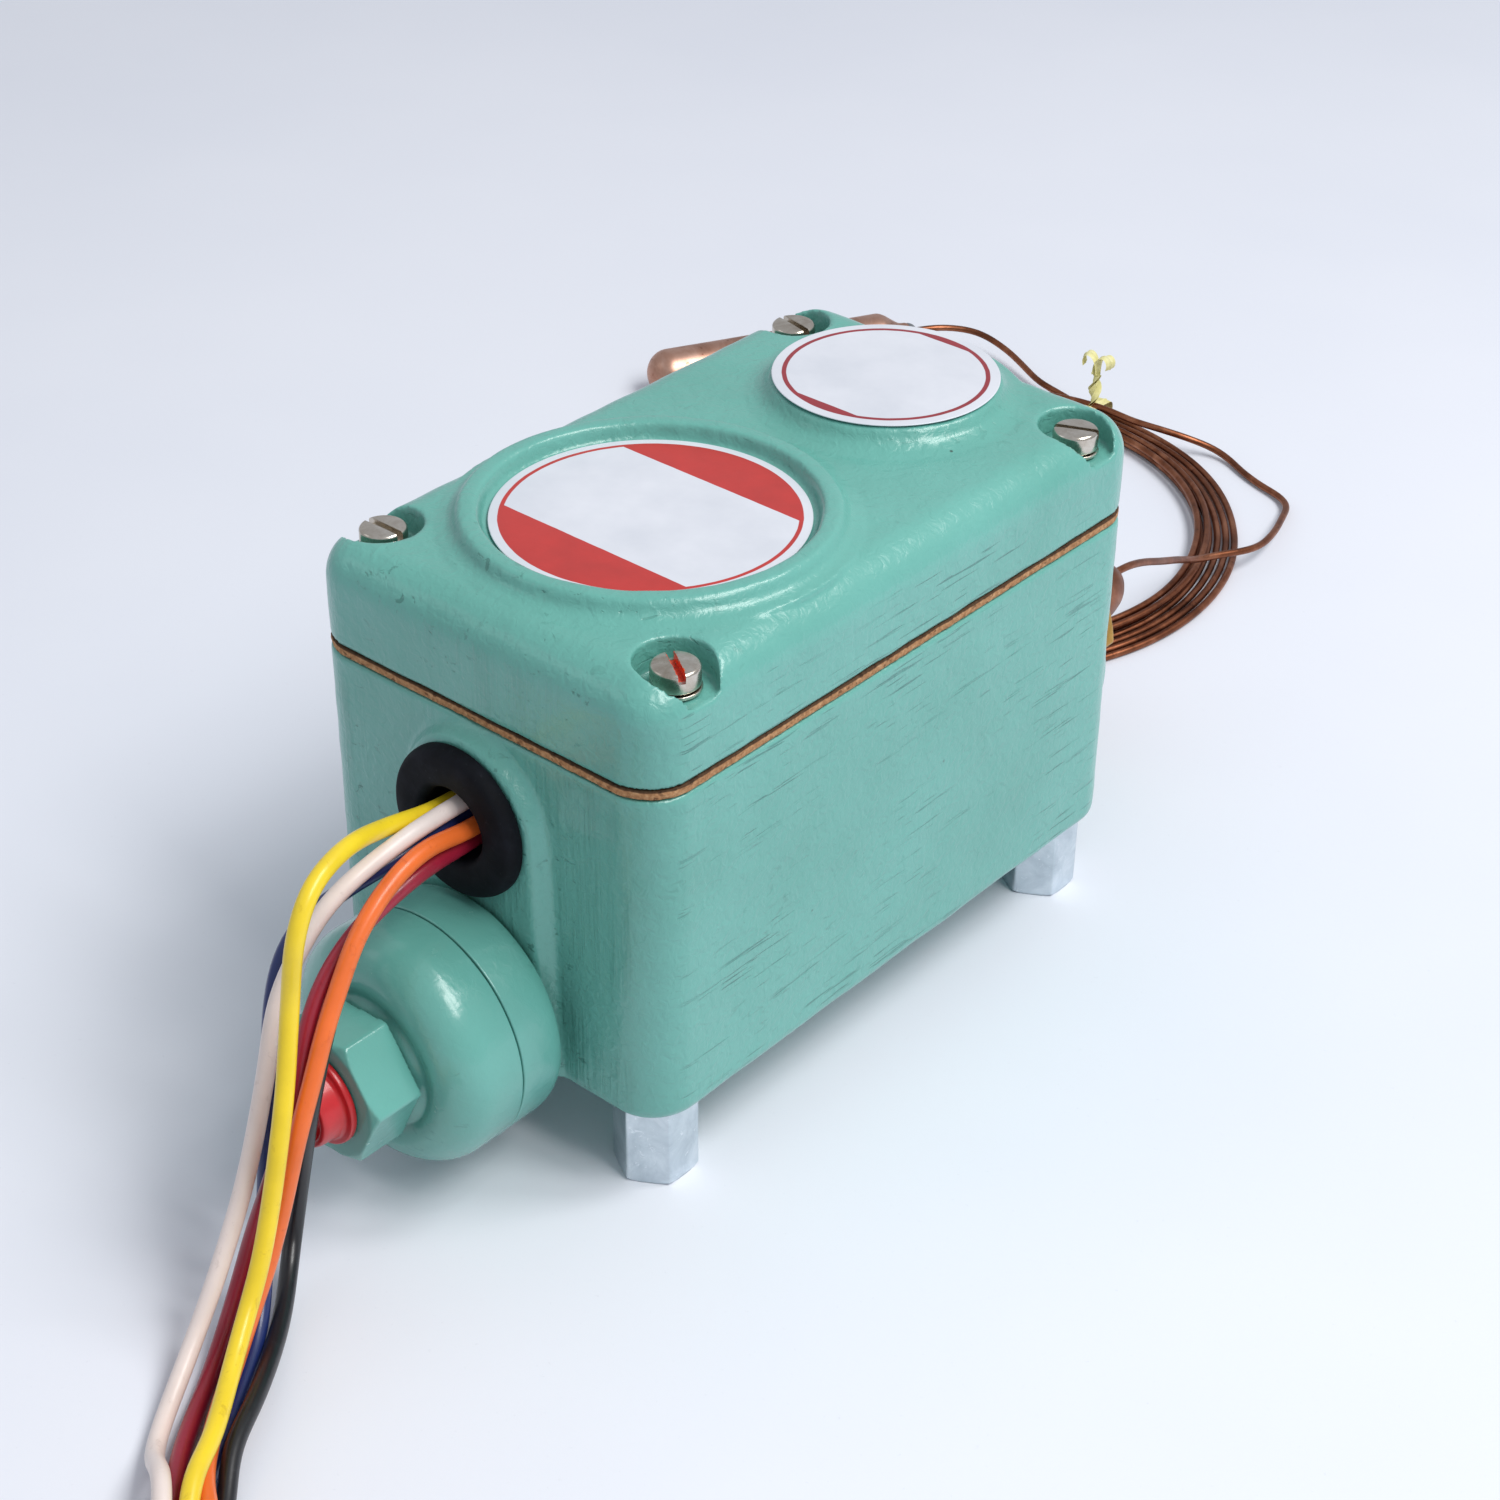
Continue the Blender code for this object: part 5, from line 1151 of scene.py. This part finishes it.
def hex_block(name, across, z0, z1, turn, axis, centre, mat, extra=(), bore=None, cham=(0.0, 1.2), voxel=0.3, smooth=3, keep=0.4, edge=0.25, cone=0.55):
    """A hexagon bar, its ends turned to a cone so that the corners show curved facets."""
    corners = [(x, y) for x, y in circle(across / math.sqrt(3.0), 6, turn=math.radians(turn))]
    body = add(name, prism(soften(corners, edge, 4, True), z0, z1), mat, body=None)
    reach = across / math.sqrt(3.0)
    a, b = cham
    rim = across / 2 + 0.15
    profile = [(0, z0 - 0.01)]
    profile += [(rim, z0 - 0.01), (reach + 0.6, z0 - 0.01 + (reach + 0.6 - rim) * cone)] if a else [(reach + 2, z0 - 0.01)]
    profile += [(reach + 0.6, z1 + 0.01 - (reach + 0.6 - rim) * cone), (rim, z1 + 0.01)] if b else [(reach + 2, z1 + 0.01)]
    profile += [(0, z1 + 0.01)]
    ops = [("INTERSECT", helper(lathe(profile, 128)))]
    for kind, bm in extra:
        ops.append((kind, helper(bm)))
    carve(body, *ops)
    # the solid was made about Z at the row shift, so take that out, turn it and put it back
    m = Matrix.Translation(SHIFT * MM) @ Matrix.Translation(Vector(centre) * MM) @ (Matrix.Translation(-Vector(centre)) @ axis_matrix(axis, centre)).to_3x3().to_4x4() @ Matrix.Translation(-SHIFT * MM)
    body.data.transform(m)
    if voxel:
        cast(body, voxel, smooth)
        thin(body, keep)
    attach(body, "root")
    return body


for corner, sx, sy in CORNERS:
    stud = lathe(soften([(0, STANDOFF_H - 2, 0), (2.4, STANDOFF_H - 2, 0), (2.4, 23.2, 0.3), (1.8, 24.0, 0.2), (0, 24.0, 0)], 0.2), 40)
    hole = prism(circle(2.5, 40), -2.0, 10.0)
    sink = lathe([(0, -0.5), (3.4, -0.5), (2.4, 0.9), (0, 0.9)], 40)
    foot = hex_block(f"standoff_{corner}", 12.7, 0.0, STANDOFF_H, 31.0, "+Z", (sx * STANDOFF_X, sy * STANDOFF_Y, 0), ZINC, [("UNION", stud), ("DIFFERENCE", hole), ("DIFFERENCE", sink)], cham=(1, 1), voxel=0.22, smooth=2, keep=0.3, edge=0.2, cone=0.5)
    co = points_of(foot)
    co[:, 2] = np.where(co[:, 2] < 0.14 * MM, np.maximum(co[:, 2], 0.0) * 0.0, co[:, 2])
    put_points(foot, co)
    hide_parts(f"hex_standoff_{corner}")


def make_drum(prefix, axis, node):
    base = [(4.0, 60.0, 0), (9.8, 60.0, 0.3), (9.8, 66.85, 0.2), (19.4, 66.85, 0.8), (20.8, 67.3, 0.8), (21.3, 68.8, 1.2), (21.3, 76.35, 0.32), (17.5, 76.35, 0), (17.5, 69.8, 0.3), (4.0, 69.8, 0)]
    obj = turned(f"{prefix}_base", base, 144, PAINTED_TURNED, axis, (0, 0, UNIT_Z), f"{node}_base")
    uneven(obj, 0.035, 9, 26, 12, 31)
    shoulder = arc(21.3 - 7.3, 82.4, 7.3, 0.0, 82.0, 16)
    cup = [(7.2, 86.4, 0), (12.0, 86.4, 0), (17.5, 83.0, 0), (17.5, 76.62, 0), (21.3, 76.62, 0.30)] + [(r, h, 0) for r, h in shoulder]
    cup += [(13.4, 89.4, 1.0), (11.9, 88.85, 0.8), (11.0, 89.6, 0.6), (10.2, 90.15, 0.3), (7.2, 90.15, 0)]
    obj = turned(f"{prefix}_cup", cup, 144, PAINTED_TURNED, axis, (0, 0, UNIT_Z), f"{node}_cup")
    uneven(obj, 0.035, 9, 26, 12, 37)


make_drum("pressure_drum", "-Y", "pressure_bellows")
make_drum("comp_drum", "+Y", "comp_bellows")


def make_port(name, node, z1, bore, turn, axis, mat, voxel):
    shank = lathe(soften([(0, 86.4, 0), (6.5, 86.4, 0.2), (6.9, 86.9, 0.2), (6.9, 92.0, 0), (0, 92.0, 0)], 0.2), 64)
    hole = lathe([(0, 80), (bore, 80), (bore, z1 - 0.7), (bore + 0.9, z1 + 0.6), (0, z1 + 0.6)], 64)
    obj = hex_block(name, 22.2, 90.6, z1, turn, axis, (0, 0, UNIT_Z), mat, [("UNION", shank), ("DIFFERENCE", hole)], cham=(0, 1), voxel=voxel, smooth=3, keep=0.35, edge=0.35, cone=0.55)
    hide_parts(node)
    return obj


port = make_port("port_hex", "pressure_port_fitting", 100.3, 5.6, 4.1, "-Y", PAINTED_TURNED, 0.3)
uneven(port, 0.03, 6, 18, 12, 41)
make_port("comp_hex", "comp_hex_fitting", 101.5, 4.2, 12.0, "+Y", BRASS, 0.25)

turned(
    "port_plug",
    [(0, 94.0, 0), (4.6, 94.0, 0.5), (5.3, 100.5, 0.2), (8.4, 100.5, 0.3), (8.5, 101.0, 0.3), (8.4, 101.7, 0.3), (7.5, 101.8, 0.3), (7.1, 102.2, 0.4), (6.85, 105.2, 0.3), (6.6, 105.9, 0.4), (5.8, 106.0, 0.3), (5.5, 105.6, 0.4), (5.3, 102.6, 0.5), (4.6, 101.9, 0.4), (0, 101.7, 0)],
    88,
    RED_PLASTIC,
    "-Y",
    (0, 0, UNIT_Z),
    "port_cap_plug",
)

turned(
    "hub_cap",
    [(0, 97.0, 0), (3.8, 97.0, 0.2), (3.8, 101.85, 0.2), (6.75, 101.85, 0.35), (6.9, 103.0, 0.4), (6.85, 106.8, 1.4), (6.45, 110.4, 1.6), (5.4, 114.2, 1.8), (3.5, 117.0, 1.6), (2.2, 117.9, 0.5), (0, 118.0, 0)],
    88,
    COPPER,
    "+Y",
    (0, 0, UNIT_Z),
    "capillary_hub",
)

# =============================================================================
# mechanism inside the housing: the CAD nodes stay, with real surfaces

INSIDE = {
    "pressure_bellows": BRONZE, "comp_bellows": BRONZE, "pressure_push_rod": STEEL, "comp_push_rod": STEEL,
    "mechanism_bracket": STEEL, "bracket_screw_front": STEEL, "bracket_screw_rear": STEEL, "pivot_pin": STEEL,
    "balance_lever": STEEL, "snap_switch_left": PHENOLIC, "snap_switch_right": PHENOLIC, "switch_plunger_left": NYLON,
    "switch_plunger_right": NYLON, "switch_mount_screw_lower": STEEL, "switch_mount_screw_upper": STEEL,
    "range_spring": SPRING_STEEL, "adjusting_stud": STEEL, "adjusting_nut": BRASS,
}
for node, mat in INSIDE.items():
    slots = NODES[node].data.materials
    if len(slots):
        for i in range(len(slots)):
            slots[i] = mat
    else:
        slots.append(mat)

# the bellows are copied into plain objects of their own, and the CAD nodes are hidden
for node, rod, fixed, free in (("pressure_bellows", "pressure_rod", -76.6, -88.7), ("comp_bellows", "compensating_rod", 64.6, 76.7)):
    folds_mesh = NODES[node].data.copy()
    folds_mesh.transform(NODES[node].matrix_world)
    folds = bpy.data.objects.new(f"{node}_folds", folds_mesh)
    bpy.context.scene.collection.objects.link(folds)
    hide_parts(node)
    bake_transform(folds)

# =============================================================================
# floor and light


def make_floor():
    bm = bmesh.new()
    size, n = 2.6, 24
    rows = [[bm.verts.new((-size + 2 * size * i / n, -size + 2 * size * j / n, 0.0)) for i in range(n + 1)] for j in range(n + 1)]
    for a, b in zip(rows, rows[1:]):
        for i in range(n):
            bm.faces.new((a[i], a[i + 1], b[i + 1], b[i]))
    m = Mat("floor_pale", Specular_IOR_Level=0.3)
    tone = m.noise(3.0, 4, 0.6)
    colour = m.ramp(tone, (0.3, srgb(222, 226, 236)), (0.7, srgb(230, 233, 241)))
    fleck = m.window(m.noise(900, 3, 0.7), 0.66, 0.74)
    m.put("Base Color", m.mix(m.maths("MULTIPLY", fleck, 0.25), colour, srgb(196, 200, 210)))
    m.put("Roughness", m.spread(m.noise(8, 3), 0.45, 0.6))
    m.put("Normal", m.bump(m.noise(700, 3), 0.00004, 0.4))
    floor = add("floor", bm, m.mat, body=None, to_world=False, flip=False)


make_floor()


def area(name, place, target, size, size_y, power, colour):
    data = bpy.data.lights.new(name, "AREA")
    data.shape, data.size, data.size_y = "RECTANGLE", size, size_y
    data.energy, data.color = power, colour
    obj = bpy.data.objects.new(name, data)
    COLLECTION.objects.link(obj)
    obj.location = place
    obj.rotation_mode = "QUATERNION"
    obj.rotation_quaternion = (Vector(target) - Vector(place)).to_track_quat("-Z", "Y")


def make_light():
    world = bpy.data.worlds.new("studio")
    SCENE.world = world
    world.use_nodes = True
    back = world.node_tree.nodes["Background"]
    back.inputs["Color"].default_value = (0.90, 0.93, 1.0, 1.0)
    back.inputs["Strength"].default_value = 0.53
    # three tall panes side by side, as a window gives, then a weak fill from the front left
    for number, (x, y) in enumerate(((0.86, -0.14), (0.66, 0.14), (0.46, 0.42))):
        area(f"pane_{number}", (x, y, 1.05), (0.0, 0.0, 0.05), 0.24, 0.50, 4.4, (1.0, 0.99, 0.97))
    area("fill", (-0.75, -0.75, 0.8), (0.0, 0.0, 0.04), 0.5, 0.35, 0.4, (0.95, 0.97, 1.0))
    SCENE.view_settings.view_transform = "Standard"
    SCENE.view_settings.look = "None"


make_light()

bpy.context.view_layer.update()
